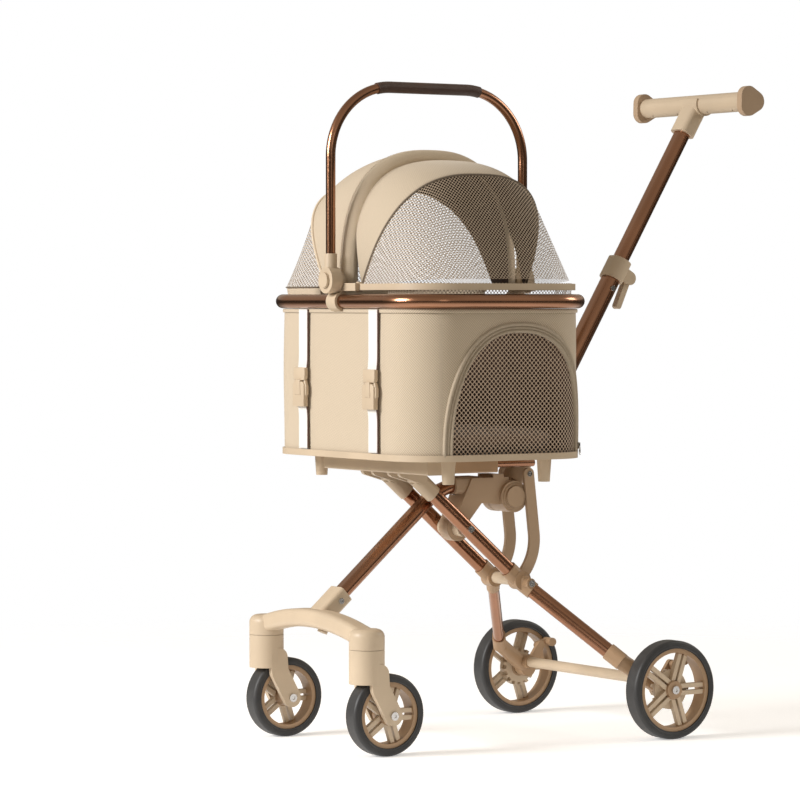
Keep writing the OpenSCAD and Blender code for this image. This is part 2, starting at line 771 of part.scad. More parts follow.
module handle_clamp() color(cream) on_handle() difference() {
    ear_half = lever_w / 2 + side_gap + 5;
    union() {
        translate([0, 0, clamp_mid - clamp_h / 2]) linear_extrude(clamp_h)
            oval(outer_tube_w + 8, outer_tube_d + 8);
        translate([-ear_half, 0, 0]) side() linear_extrude(2 * ear_half)
            bar([outer_tube_d / 2, clamp_mid], clamp_pin, 22);
    }
    translate([0, 0, clamp_mid - clamp_h]) linear_extrude(clamp_h) oval(outer_tube_w, outer_tube_d);
    linear_extrude(clamp_mid + clamp_h) oval(inner_tube_w + 0.5, inner_tube_d + 0.5);
    difference() {
        translate([-lever_w / 2 - side_gap, outer_tube_d / 2 + 3, clamp_mid - 20])
            cube([lever_w + 2 * side_gap, 30, 40]);
        translate([0, clamp_pin.x, clamp_pin.y]) rotate([0, 90, 0])
            cylinder(r = clamp_pin_r, h = 2 * ear_half, center = true);
    }
}

module clamp_lever() color(cream) on_handle() translate([0, clamp_pin.x, clamp_pin.y]) difference() {
    union() {
        rotate([0, 90, 0]) cylinder(r = 9, h = lever_w, center = true);
        translate([-lever_w / 2, 0, 0]) side() linear_extrude(lever_w)
            bar([1, 0], [7, -lever_len], lever_w - 2);
    }
    rotate([0, 90, 0]) cylinder(r = clamp_pin_r + run_gap, h = 4 * lever_w, center = true);
}

module height_button() color(steel) on_handle() {
    translate([inner_tube_w / 2 + height_button_in, 0, height_button_at]) rotate([0, 90, 0])
        cylinder(r = height_button_r, h = (outer_tube_w - inner_tube_w) / 2 + 2.5 - height_button_in);
}

module handle_inner_tube() color(copper) on_handle() difference() {
    tube_end = handle_len - grip_d / 2 - 2;
    translate([0, 0, inner_from]) linear_extrude(tube_end - inner_from)
        tube_with_groove(inner_tube_w, inner_tube_d);
    linear_extrude(handle_len) oval(inner_tube_w - 2 * tube_wall, inner_tube_d - 2 * tube_wall);
}

module tee_socket() color(cream) on_handle() difference() {
    saddle = 24;
    union() {
        translate([0, 0, socket_from]) linear_extrude(handle_len - socket_from - 8)
            rounded(inner_tube_w + 8, inner_tube_d + 8, 9);
        translate([0, 0, handle_len]) rotate([0, 90, 0])
            cylinder(r = grip_d / 2 + 3, h = 2 * saddle, center = true);
    }
    translate([-200, -200, handle_len]) cube(400);
    translate([0, 0, handle_len]) rotate([0, 90, 0]) cylinder(d = grip_d, h = 4 * saddle, center = true);
    linear_extrude(handle_len - grip_d / 2 - 2) oval(inner_tube_w, inner_tube_d);
}

module grip_shell() difference() {
    rotate([0, 90, 0]) cylinder(d = grip_d, h = grip_len, center = true);
    rotate([0, 90, 0]) cylinder(d = grip_d - 2 * grip_wall, h = grip_len + 1, center = true);
    translate([-grip_len, -grip_d, -2 * grip_d]) cube([2 * grip_len, 2 * grip_d, 2 * grip_d]);
    for (s = [-1, 1], x = [0.3, 0.8]) translate([s * x * grip_len / 2, 0, 0]) cylinder(r = 1.8, h = grip_d);
}

module grip_upper_shell() color(cream) on_handle() translate([0, 0, handle_len]) grip_shell();

module grip_lower_shell() color(cream) on_handle() translate([0, 0, handle_len])
    mirror([0, 0, 1]) grip_shell();

module grip_end_caps() color(taupe) on_handle() translate([0, 0, handle_len]) mirrored()
    translate([grip_len / 2, 0, 0]) side() linear_extrude(cap_t) hull() {
        reach = grip_cap_r - grip_cap_corner;
        for (a = [30, 150, 270])
            translate([reach * cos(a), reach * sin(a)]) circle(grip_cap_corner, $fn = 32);
        circle(d = grip_d, $fn = 32);
    }

// ---- Platform ----

module platform_beam() color(cream) {
    difference() {
        translate([0, beam_bar_y, latch_top_z - platform_beam_h / 2]) rotate([90, 0, 90])
            linear_extrude(platform_beam_len, center = true)
                rounded(platform_beam_w, platform_beam_h, 2.5);
        rails();
    }
    mirrored() {
        for (x = [lug_in_x - lug_t, lug_out_x]) translate([x, 0, 0]) side() linear_extrude(lug_t)
            bar([beam_bar_y + 4, rail_z - 8], platform_pivot, 18);
        cross_pin(platform_pivot, pivot_pin_r, lug_in_x - 1, lug_out_x + 1);
    }
}

module rails() mirrored() translate([leg_x, beam_bar_y, rail_z]) rotate([-90, 0, 0])
    cylinder(d = rail_d, h = rail_end - beam_bar_y);

module platform_rails() color(copper) rails();

module platform_latches() color(tan_c) mirrored() difference() {
    translate([leg_x, hub.x - 87, rail_z]) rotate([90, 0, 0])
        linear_extrude(latch_len, center = true) rounded(latch_w, latch_h, 3);
    rails();
}

// ---- Carrier ----

module carrier_outline(grow) rounded(carrier_w + 2 * grow, carrier_depth + 2 * grow, carrier_corner_r + grow);

module in_carrier(z) translate([0, carrier_y, z]) children();

module carrier_base() color(cream) {
    in_carrier(base_z) difference() {
        linear_extrude(tray_t + tray_lip) carrier_outline(tray_proud);
        translate([0, 0, tray_t]) linear_extrude(2 * tray_lip) carrier_outline(0);
    }
    for (sx = [-1, 1], sy = [-1, 1])
        in_carrier(base_z - foot_h)
            translate([sx * (carrier_w / 2 - foot_in_x), sy * (carrier_depth / 2 - foot_in_y) + foot_back, 0])
                cylinder(r1 = 9, r2 = 11.5, h = foot_h + 1);
}

module carrier_bag() color(fabric_c) in_carrier(bag_z) difference() {
    linear_extrude(carrier_wall_h) carrier_outline(0);
    translate([0, 0, bag_t]) linear_extrude(carrier_wall_h) carrier_outline(-bag_t);
}

module rim_tube() color(copper) in_carrier(rim_z) {
    r = carrier_corner_r;
    straight_x = 2 * (rim_x - r);
    straight_y = 2 * (rim_v - r);
    for (s = [-1, 1]) {
        translate([0, s * rim_v, 0]) rotate([0, 90, 0]) cylinder(d = rim_d, h = straight_x, center = true);
        translate([s * rim_x, 0, 0]) rotate([90, 0, 0]) cylinder(d = rim_d, h = straight_y, center = true);
    }
    for (i = [0:3]) {
        sx = i == 0 || i == 3 ? 1 : -1;
        sy = i < 2 ? 1 : -1;
        translate([sx * straight_x / 2, sy * straight_y / 2, 0]) rotate(90 * i)
            rotate_extrude(angle = 90) translate([r, 0]) circle(d = rim_d);
    }
}

module rim_run() rotate([0, 90, 0]) cylinder(d = rim_d, h = 4 * hinge_x, center = true);

// Draws children at the front and the rear of the carrier, with +Y pointing outwards
module front_and_rear() translate([0, carrier_y, 0]) {
    children();
    mirror([0, 1, 0]) children();
}

module arch_clamps() color(cream) front_and_rear() difference() {
    pivot_up = arch_pivot_z - rim_z;
    union() {
        translate([0, rim_v, rim_z]) rotate([0, 90, 0])
            cylinder(r = rim_d / 2 + 4, h = 2 * clamp_half, center = true);
        translate([-clamp_half, arch_lug_from, rim_z])
            cube([2 * clamp_half, arch_lug_to - arch_lug_from, pivot_up]);
        translate([0, arch_lug_from, arch_pivot_z]) rotate([-90, 0, 0])
            cylinder(r = clamp_half, h = arch_lug_to - arch_lug_from);
        translate([0, arch_lug_from, arch_pivot_z]) rotate([-90, 0, 0])
            cylinder(r = pivot_pin_r, h = arch_disc_to + side_gap - arch_lug_from);
        translate([0, arch_disc_to + side_gap - eps, arch_pivot_z]) rotate([-90, 0, 0])
            cylinder(r = 12, h = 4);
        translate([0, arch_lug_from, hood_z - 6]) cube([hinge_x + 6, 7, 12]);
        translate([hinge_x, near_v - 7, hood_z]) rotate([-90, 0, 0])
            cylinder(r = hinge_pin_r, h = arch_lug_from - near_v + 8);
    }
    translate([0, rim_v, rim_z]) rim_run();
    translate([-2 * clamp_half, 0, bag_top - rim_d]) cube([4 * clamp_half, carrier_depth / 2 + side_gap,
        rim_d + side_gap]);
    difference() {
        translate([0, arch_lug_to, arch_pivot_z]) rotate([-90, 0, 0])
            cylinder(r = arch_disc_r + 1, h = arch_disc_to - arch_lug_to + side_gap - eps);
        translate([0, 0, arch_pivot_z]) rotate([-90, 0, 0]) cylinder(r = pivot_pin_r, h = 2 * arch_v);
    }
}

module cushion() color(fabric_c) in_carrier(bag_z + bag_t + soft_gap)
    linear_extrude(cushion_h) carrier_outline(-bag_t - cushion_in);

module front_wall_place(x, z) translate([x, carrier_y - carrier_depth / 2, z]) children();

module straps() color(cream) for (s = [-1, 1]) {
    low = bag_z + tray_lip + 2;
    front_wall_place(s * strap_x, low) translate([-strap_w / 2, -strap_t - 0.2, 0])
        cube([strap_w, strap_t, bag_top - low - 2]);
}

module buckles() color(tan_c) for (s = [-1, 1]) {
    front_wall_place(s * strap_x, buckle_mid_z) rotate([90, 0, 0]) translate([0, 0, strap_t + 0.2])
        linear_extrude(buckle_t) rounded(buckle_w, buckle_h, 6);
}

// ---- Canopy ----

// A thin closed shell between rows of points: outer rows, then the same rows on the inside
module shell(outer, inner) {
    rows = len(outer);
    cols = len(outer[0]);
    all_points = [for (row = outer) for (p = row) p, for (row = inner) for (p = row) p];
    inside = rows * cols;
    function at(i, j, base) = base + i * cols + j;
    skin = [for (i = [0:rows - 2]) for (j = [0:cols - 2])
        for (b = [0, inside])
            let (q = [at(i, j, b), at(i + 1, j, b), at(i + 1, j + 1, b), at(i, j + 1, b)])
            b == 0 ? q : [q[3], q[2], q[1], q[0]]];
    ends = [for (i = [0:rows - 2]) for (j = [0, cols - 1])
        let (q = [at(i, j, 0), at(i, j, inside), at(i + 1, j, inside), at(i + 1, j, 0)])
        j == 0 ? q : [q[3], q[2], q[1], q[0]]];
    sides = [for (j = [0:cols - 2]) for (i = [0, rows - 1])
        let (q = [at(i, j, 0), at(i, j + 1, 0), at(i, j + 1, inside), at(i, j, inside)])
        i == 0 ? q : [q[3], q[2], q[1], q[0]]];
    triangles = [for (f = concat(skin, ends, sides)) for (k = [1, 2]) [f[0], f[k], f[k + 1]]];
    polyhedron(all_points, triangles);
}

function hood_rows(off) = concat(
    [arch_row(base_arch, off)],
    [for (k = [0:hood_steps]) arch_row(mixed(far_arch, crown_arch, k / hood_steps), off)]);

module canopy_hood() color(fabric_c) shell(hood_rows(0), hood_rows(hood_t));

// The near half of the hood turns about the hinge line, so it is swept round that line
module about_hinge() translate([hinge_x, carrier_y, hood_z]) rotate([-90, 0, 0]) children();

module near_profile() polygon(concat(
    [for (i = [0:arch_steps]) near_point(180 * i / arch_steps, 0)],
    [for (i = [arch_steps:-1:0]) near_point(180 * i / arch_steps, hood_t)]));

function near_point(t, off) =
    [max(0, (near_h - off) * sq(sin(t), 2.7)), (near_v - off) * sq(cos(t), 2.7)];

module near_hood() color(fabric_c) difference() {
    union() {
        about_hinge() rotate([0, 0, near_to - 90])
            rotate_extrude(angle = near_from - near_to) near_profile();
        for (s = [-1, 1]) translate([hinge_x, carrier_y + s * (near_v - hood_t / 2), hood_z])
            rotate([90, 0, 0]) cylinder(r = 9, h = hood_t, center = true);
    }
    translate([hinge_x, carrier_y, hood_z]) rotate([90, 0, 0])
        cylinder(r = hinge_pin_r + run_gap, h = 4 * near_v, center = true);
}

module canopy_band() color(cream) translate([0, carrier_y, hood_z]) difference() {
    corner = carrier_corner_r - 3;
    far_x = hinge_x + band_r;
    union() {
        for (s = [-1, 1]) {
            translate([hinge_x, s * band_v - band_w / 2, -band_h / 2])
                cube([far_x - corner - hinge_x, band_w, band_h]);
            translate([hinge_x, s * (band_v + band_w / 2), 0]) rotate([s * 90, 0, 0])
                cylinder(r = band_eye_r, h = band_w);
        }
        translate([far_x - band_w / 2, corner - band_v, -band_h / 2])
            cube([band_w, 2 * (band_v - corner), band_h]);
        for (s = [0, 1]) mirror([0, s, 0]) translate([far_x - corner, band_v - corner, 0])
            rotate_extrude(angle = 90) translate([corner, 0]) square([band_w, band_h], center = true);
    }
    translate([hinge_x, 0, 0]) rotate([90, 0, 0])
        cylinder(r = hinge_pin_r + run_gap, h = 4 * band_v, center = true);
}

module near_mesh() color(fabric_c)
    shell([arch_row(near_arch, 0), arch_row(band_arch, 0)],
          [arch_row(near_arch, mesh_t), arch_row(band_arch, mesh_t)]);

// ---- Arch handle ----

module arch_tube() color(copper) front_and_rear() {
    translate([0, arch_v, arch_tube_from]) cylinder(d = arch_d, h = arch_straight - arch_tube_from);
    translate([0, arch_v - arch_corner_r, arch_straight]) side() rotate_extrude(angle = 90)
        translate([arch_corner_r, 0]) circle(d = arch_d);
    translate([0, 0, arch_top_z]) rotate([-90, 0, 0]) cylinder(d = arch_d, h = arch_v - arch_corner_r);
}

module arch_sockets() color(cream) front_and_rear() difference() {
    union() {
        translate([0, arch_disc_from, arch_pivot_z]) rotate([-90, 0, 0])
            cylinder(r = arch_disc_r, h = arch_disc_to - arch_disc_from);
        translate([0, arch_v, arch_pivot_z]) cylinder(r = arch_disc_to - arch_v, h = 41);
    }
    translate([0, arch_v, arch_tube_from]) cylinder(d = arch_d, h = arch_h);
    translate([0, 0, arch_pivot_z]) rotate([-90, 0, 0]) cylinder(r = pivot_pin_r + run_gap, h = 2 * arch_v);
}

module grip_ring() difference() {
    circle(d = arch_d + 3);
    circle(d = arch_d);
}

module arch_grip() color(brown) {
    front_and_rear() translate([0, arch_v - arch_corner_r, arch_straight]) side()
        rotate(90 - grip_sweep) rotate_extrude(angle = grip_sweep) translate([arch_corner_r, 0]) grip_ring();
    translate([0, carrier_y, arch_top_z]) rotate([90, 0, 0])
        linear_extrude(2 * (arch_v - arch_corner_r), center = true) grip_ring();
}

// ---- Nodes ----

rear_legs();
lower_legs();
leg_heads();
leg_joints();
upper_cross_sleeve();
lower_cross_tube();
rear_cross_tube();
axle_brackets();
rear_axles();
curved_struts();
frame_screws();
rear_tyre(1);  // rear_tyre_left
rear_tyre(-1);  // rear_tyre_right
rear_rim(1);  // rear_rim_left
rear_rim(-1);  // rear_rim_right
brake_lever(1);  // brake_lever_left
brake_lever(-1);  // brake_lever_right
front_leg();
front_crossbar();
main_casting();
caster_pins();
front_screws();
hub_button(1);  // hub_button_left
hub_button(-1);  // hub_button_right
caster_fork(1);  // caster_fork_left
caster_fork(-1);  // caster_fork_right
front_axle(1);  // front_axle_left
front_axle(-1);  // front_axle_right
front_tyre(1);  // front_tyre_left
front_tyre(-1);  // front_tyre_right
front_rim(1);  // front_rim_left
front_rim(-1);  // front_rim_right
handle_knuckle();
handle_outer_tube();
handle_clamp();
clamp_lever();
height_button();
handle_inner_tube();
tee_socket();
grip_upper_shell();
grip_lower_shell();
grip_end_caps();
platform_beam();
platform_rails();
platform_latches();
carrier_base();
carrier_bag();
rim_tube();
arch_clamps();
cushion();
straps();
buckles();
canopy_hood();
near_hood();
canopy_band();
near_mesh();
arch_tube();
arch_sockets();
arch_grip();
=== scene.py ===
"""Fabric, hardware finishes and the stage for a folding pet stroller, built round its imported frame."""

import json
import math

import bmesh
import bpy
from bpy.props import FloatProperty, FloatVectorProperty, PointerProperty
from mathutils import Matrix, Vector


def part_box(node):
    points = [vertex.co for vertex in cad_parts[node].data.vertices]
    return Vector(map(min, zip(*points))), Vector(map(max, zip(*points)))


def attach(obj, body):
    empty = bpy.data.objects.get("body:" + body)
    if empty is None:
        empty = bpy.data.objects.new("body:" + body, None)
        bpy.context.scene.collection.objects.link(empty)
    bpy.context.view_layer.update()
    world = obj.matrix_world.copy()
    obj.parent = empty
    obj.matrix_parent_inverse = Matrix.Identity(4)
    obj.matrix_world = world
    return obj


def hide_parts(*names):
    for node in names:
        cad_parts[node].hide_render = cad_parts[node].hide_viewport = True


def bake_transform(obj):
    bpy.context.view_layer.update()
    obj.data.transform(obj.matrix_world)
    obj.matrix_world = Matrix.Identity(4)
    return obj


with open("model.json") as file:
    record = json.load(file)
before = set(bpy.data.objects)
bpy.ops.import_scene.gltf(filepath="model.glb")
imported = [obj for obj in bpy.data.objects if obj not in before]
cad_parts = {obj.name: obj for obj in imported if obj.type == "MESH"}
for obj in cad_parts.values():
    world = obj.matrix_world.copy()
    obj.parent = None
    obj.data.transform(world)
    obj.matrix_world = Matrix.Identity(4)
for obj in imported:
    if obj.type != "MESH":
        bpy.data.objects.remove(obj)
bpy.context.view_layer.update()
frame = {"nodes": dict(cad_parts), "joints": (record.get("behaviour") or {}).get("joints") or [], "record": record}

bl_info = {
    "name": "Pet stroller looks",
    "version": (1, 0, 0),
    "blender": (4, 5, 0),
    "location": "View3D > Sidebar > Stroller",
    "description": "Builds the soft pieces, the finishes and the stage of a pet stroller",
    "category": "Object",
}

JOINT = {joint["name"]: joint for joint in frame["joints"]}

# Places that the frame fixes
BAG_LOW, BAG_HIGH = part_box("carrier_bag")
RIM_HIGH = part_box("rim_tube")[1]
BASE_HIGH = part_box("carrier_base")[1]
CENTRE_Y = (BAG_LOW.y + BAG_HIGH.y) / 2
HALF_X = BAG_HIGH.x
HALF_Y = (BAG_HIGH.y - BAG_LOW.y) / 2
HINGE = Vector(JOINT["canopy_open"]["pos_m"])
REAR_AXLE = Vector(JOINT["rear_wheel_left"]["pos_m"])
CROWN_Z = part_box("canopy_hood")[1].z
BAND_LOW, BAND_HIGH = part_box("canopy_band")

TURN = 2 * math.pi

# Steps along a canopy rib
RIB_STEPS = 96
# Steps down the strips of cloth inside the rim, and how far below its top they end
STRIP_STEPS = 4
STRIP_END = 0.006

# The floor's half width, and where it fades out
FLOOR_REACH = 40
FLOOR_FADE_FROM = 0.55
FLOOR_FADE_TO = 2.2


def metres(name, text, value, **more):
    return FloatProperty(name=name, description=text, default=value, unit="LENGTH", **more)


def colour(name, text, value):
    return FloatVectorProperty(
        name=name, description=text, default=value, subtype="COLOR", min=0, max=1, size=3
    )


class StrollerSizes(bpy.types.PropertyGroup):
    """Sizes of the soft pieces, in metres"""

    corner: metres("Bag corner", "Corner radius of the bag", 0.080)
    cloth: metres("Cloth", "Thickness of the bag's wall", 0.0030)
    window_half: metres("Window half width", "Half the width of an end window, over its piping", 0.138)
    window_high: metres("Window height", "Height of an end window above the tray", 0.202)
    window_back: metres("Window offset", "How far an end window sits behind the middle", 0.0215)
    piping: metres("Piping", "Radius of the piping cords", 0.0024)
    piping_band: metres("Piping band", "Width of the band between a window's mesh and the wall", 0.0150)
    hood_v: metres("Hood half span", "Half the hood's span from front to rear", 0.158)
    crown_x: metres("Crown", "Place of the hood's brim across the stroller", 0.005)
    far_rib_h: metres("Far rib", "Length of the far rib", 0.188)
    near_rib_h: metres("Near rib", "Length of the near rib", 0.197)
    near_v: metres("Near hood half span", "Half the inner hood's span", 0.153)
    mesh_pitch: metres("Mesh pitch", "Distance between holes of the canopy mesh", 0.0060)
    window_pitch: metres("Window mesh pitch", "Distance between holes of the window mesh", 0.0078)
    strap_x: metres("Strap place", "Distance of each strap from the middle", 0.102)
    strap_w: metres("Strap width", "Width of the webbing", 0.026)
    buckle_z: metres("Buckle height", "Height of the buckles above the floor", 0.552)


class StrollerColours(bpy.types.PropertyGroup):
    """Colours of the finishes"""

    copper: colour("Copper", "Anodised tubes", (0.34, 0.165, 0.092))
    cream: colour("Cream plastic", "Moulded brackets and sockets", (0.56, 0.445, 0.315))
    taupe: colour("Taupe plastic", "Castings and end caps", (0.44, 0.31, 0.20))
    tan: colour("Tan plastic", "Wheel rims and joints", (0.38, 0.245, 0.14))
    fabric: colour("Bag cloth", "Twill of the bag and hood", (0.60, 0.495, 0.365))
    # Painted shade: the lining's very dark brown stands for the shade inside the bag and the hood, seen through
    # the mesh.
    painted_shade_lining: colour("Lining", "Inside of the bag and hood", (0.10, 0.055, 0.035))
    mesh: colour("Canopy mesh", "Knitted mesh of the canopy", (0.50, 0.39, 0.28))
    window: colour("Window mesh", "Knitted mesh of the end windows", (0.50, 0.375, 0.27))
    webbing: colour("Webbing", "Flat straps", (0.86, 0.84, 0.80))
    leather: colour("Leather", "Grip of the arch handle", (0.085, 0.040, 0.025))
    rubber: colour("Rubber", "Tyres", (0.022, 0.022, 0.023))
    steel: colour("Steel", "Screws and axles", (0.72, 0.71, 0.70))
    cushion: colour("Cushion", "Quilted cushion", (0.17, 0.105, 0.07))


# ---- Shader maths ----


class Sock:
    """An output socket; arithmetic on it adds Math nodes."""

    def __init__(self, paint, out):
        self.paint = paint
        self.out = out

    def math(self, operation, *values):
        return self.paint.node("ShaderNodeMath", {"operation": operation}, dict(enumerate(values)))

    def __add__(self, other):
        return self.math("ADD", self, other)

    def __sub__(self, other):
        return self.math("SUBTRACT", self, other)

    def __rsub__(self, other):
        return self.math("SUBTRACT", other, self)

    def __mul__(self, other):
        return self.math("MULTIPLY", self, other)

    def __truediv__(self, other):
        return self.math("DIVIDE", self, other)

    __radd__ = __add__
    __rmul__ = __mul__

    def sine(self):
        return self.math("SINE", self)

    def cosine(self):
        return self.math("COSINE", self)

    def root(self):
        return self.math("SQRT", self)

    def absolute(self):
        return self.math("ABSOLUTE", self)

    def above(self, limit):
        return self.math("GREATER_THAN", self, limit)

    def ramp(self, low, high):
        """0 below low, 1 above high, smooth between them."""
        return self.paint.node(
            "ShaderNodeMapRange",
            {"interpolation_type": "SMOOTHSTEP"},
            {"Value": self, "From Min": low, "From Max": high},
        )


class Nodes:
    """A node tree that is built through one method."""

    def __init__(self, tree):
        self.tree = tree
        self.tree.nodes.clear()

    def node(self, kind, settings=None, inputs=None, out=0):
        """Adds a node: its settings first, then its sockets' values or links. Gives one output."""
        made = self.tree.nodes.new(kind)
        for name, value in (settings or {}).items():
            if name == "stops":
                self.set_stops(made.color_ramp, value)
            else:
                setattr(made, name, value)
        for name, value in (inputs or {}).items():
            self.feed(self.find(made.inputs, name), value)
        return Sock(self, self.find(made.outputs, out)) if made.outputs else None

    @staticmethod
    def set_stops(ramp, stops):
        while len(ramp.elements) < len(stops):
            ramp.elements.new(1.0)
        for element, (position, tint) in zip(ramp.elements, stops):
            element.position = position
            element.color = (*tint, 1)

    @staticmethod
    def find(sockets, name):
        if isinstance(name, int):
            return sockets[name]
        return next(s for s in sockets if name in (s.identifier, s.name) and s.enabled)

    def feed(self, socket, value):
        if isinstance(value, Sock):
            self.tree.links.new(value.out, socket)
        elif hasattr(value, "__len__") and len(value) == 3 and len(socket.default_value) == 4:
            socket.default_value = (*value, 1)
        else:
            socket.default_value = value

    def part(self, vector, axis):
        return self.node("ShaderNodeSeparateXYZ", None, {0: vector}, axis)


class Paint(Nodes):
    """One material and its Principled shader."""

    def __init__(self, name):
        self.material = bpy.data.materials.new(name)
        self.material.use_nodes = True
        super().__init__(self.material.node_tree)
        shader = self.node("ShaderNodeBsdfPrincipled")
        self.shader = shader.out.node
        self.node("ShaderNodeOutputMaterial", None, {"Surface": shader})

    def set(self, **values):
        """Sets the Principled shader's sockets; underscores stand for spaces."""
        for name, value in values.items():
            self.feed(self.shader.inputs[name.replace("_", " ")], value)
        return self.material

    def mix(self, factor, a, b):
        return self.node(
            "ShaderNodeMix",
            {"data_type": "RGBA"},
            {"Factor_Float": factor, "A_Color": a, "B_Color": b},
            "Result_Color",
        )

    def place(self):
        """Position in the object's own frame, in metres."""
        return self.node("ShaderNodeTexCoord", out="Object")

    def cloth(self):
        """Position along the cloth, in metres, as stored on the mesh."""
        return self.node("ShaderNodeAttribute", {"attribute_name": "cloth"}, out="Vector")

    def scaled(self, vector, size):
        return self.node("ShaderNodeVectorMath", {"operation": "MULTIPLY"}, {0: vector, 1: size})

    def noise(self, vector, scale, detail=2.0, rough=0.5):
        return self.node(
            "ShaderNodeTexNoise",
            None,
            {"Vector": vector, "Scale": scale, "Detail": detail, "Roughness": rough},
            "Fac",
        )

    def soft_edge(self, radius):
        return self.node("ShaderNodeBevel", {"samples": 4}, {"Radius": radius}, "Normal")

    def edge_mask(self, normal):
        """1 along worn edges, 0 on flats."""
        flat = self.node("ShaderNodeNewGeometry", out="Normal")
        same = self.node("ShaderNodeVectorMath", {"operation": "DOT_PRODUCT"}, {0: normal, 1: flat}, "Value")
        return (1 - same).ramp(0.02, 0.30)

    def bump(self, height, distance, strength=1.0, normal=None):
        inputs = {"Height": height, "Distance": distance, "Strength": strength}
        if normal is not None:
            inputs["Normal"] = normal
        return self.node("ShaderNodeBump", None, inputs)


def shade(value, amount):
    """A darker or lighter copy of a colour."""
    return tuple(min(1.0, c * amount) for c in value)


def moulded(name, tint, edge=0.0009):
    """Satin moulded plastic: fine spark-eroded grain, faint flow marks and paler rubbed edges."""
    paint = Paint(name)
    at = paint.place()
    normal = paint.soft_edge(edge)
    flow = paint.noise(at, 14, 3)
    grain = paint.noise(at, 2600, 1)
    base = paint.mix(flow.ramp(0.3, 0.7), shade(tint, 0.95), shade(tint, 1.04))
    worn = paint.edge_mask(normal) * 0.35
    return paint.set(
        Base_Color=paint.mix(worn, base, shade(tint, 1.22)),
        Roughness=0.36 + flow * 0.10 + grain * 0.05,
        Normal=paint.bump(grain, 0.00005, 0.5, normal),
        Specular_IOR_Level=0.45,
    )


def anodised(name, tint):
    """Polished anodised aluminium with drawn lines and slightly brighter edges."""
    paint = Paint(name)
    at = paint.place()
    normal = paint.soft_edge(0.0010)
    cloud = paint.noise(at, 9, 2)
    fine = paint.noise(at, 420, 3, 0.6)
    base = paint.mix(cloud.ramp(0.3, 0.7), shade(tint, 0.93), shade(tint, 1.07))
    worn = paint.edge_mask(normal) * 0.4
    return paint.set(
        Base_Color=paint.mix(worn, base, shade(tint, 1.45)),
        Metallic=1.0,
        Roughness=0.17 + cloud * 0.06 + fine * 0.06,
        Normal=paint.bump(fine, 0.00002, 0.3, normal),
        Coat_Weight=0.35,
        Coat_Roughness=0.08,
    )


def steel(name, tint):
    paint = Paint(name)
    normal = paint.soft_edge(0.0004)
    fine = paint.noise(paint.place(), 900, 3, 0.6)
    return paint.set(
        Base_Color=paint.mix(fine, shade(tint, 0.85), tint),
        Metallic=1.0,
        Roughness=0.16 + fine * 0.14,
        Normal=paint.bump(fine, 0.00002, 0.3, normal),
    )


def rubber(name, tint, axle, radius):
    """Skinned foam tyre: fine grain, a bead line and a faint moulding ring on the sidewall."""
    paint = Paint(name)
    at = paint.place()
    reach = axle_distance(paint, at, axle)
    grain = paint.noise(at, 1500, 3, 0.6)
    dust = paint.noise(at, 35, 4).ramp(0.45, 0.8)
    bead = (reach - (radius - 0.0098)).absolute().ramp(0.0012, 0.0003)
    ring = (reach - (radius - 0.0060)).absolute().ramp(0.0008, 0.0002)
    tread = reach.ramp(radius - 0.0030, radius - 0.0008)
    return paint.set(
        Base_Color=paint.mix(dust * 0.35 + tread * 0.12, tint, (0.075, 0.072, 0.068)),
        Roughness=0.42 + grain * 0.12 + dust * 0.15,
        Normal=paint.bump(grain * 0.15 - bead - ring * 0.6, 0.0005, 0.8),
        Specular_IOR_Level=0.5,
    )


def axle_distance(paint, at, axle):
    """Distance from a wheel's axle, which lies along X."""
    y = paint.part(at, "Y") - axle.y
    z = paint.part(at, "Z") - axle.z
    return (y * y + z * z).root()


def spoked(name, ring, web, axle, ring_from, hub_to):
    """A wheel's moulding: a tan ring and hub with paler spokes."""
    paint = Paint(name)
    at = paint.place()
    reach = axle_distance(paint, at, axle)
    normal = paint.soft_edge(0.0009)
    flow = paint.noise(at, 40, 3)
    spokes = reach.above(hub_to) * (1 - reach.above(ring_from))
    base = paint.mix(spokes, ring, web)
    base = paint.mix(flow.ramp(0.35, 0.75) * 0.15, base, shade(ring, 0.8))
    return paint.set(
        Base_Color=paint.mix(paint.edge_mask(normal) * 0.3, base, shade(web, 1.1)),
        Roughness=0.34 + flow * 0.12,
        Normal=normal,
    )


def twill(name, tint, lines=0.0040):
    """Twill cloth: diagonal ribs made of short floats, with uneven yarn and faint creases; the weave's low parts
    and the creases are painted darker as painted shade.
    """
    paint = Paint(name)
    at = paint.cloth()
    u, v = paint.part(at, "X"), paint.part(at, "Y")
    rib = ((u + v) * (TURN / lines)).sine() * 0.5 + 0.5
    float_ = ((u - v) * (TURN / (lines * 1.3))).sine() * 0.5 + 0.5
    yarn = paint.noise(paint.scaled(at, (900, 250, 1)), 1, 2)
    crease = paint.noise(paint.place(), 11, 4, 0.55)
    height = rib * 0.7 + float_ * 0.2 + yarn * 0.3
    # Painted shade: the low parts of the weave are darker, with real yarn tone from the yarn noise mixed in, and
    # the creases are painted darker too.
    base = paint.mix(height.ramp(0.25, 1.0), shade(tint, 0.72), shade(tint, 1.08))
    base = paint.mix(crease.ramp(0.35, 0.7) * 0.25, base, shade(tint, 0.90))
    return paint.set(
        Base_Color=base,
        Roughness=0.78 + yarn * 0.12,
        Normal=paint.bump(height + crease * 2.5, 0.00045, 0.6),
        Sheen_Weight=0.25,
        Sheen_Roughness=0.45,
        Sheen_Tint=(1.0, 0.95, 0.88, 1.0),
        Specular_IOR_Level=0.25,
    )


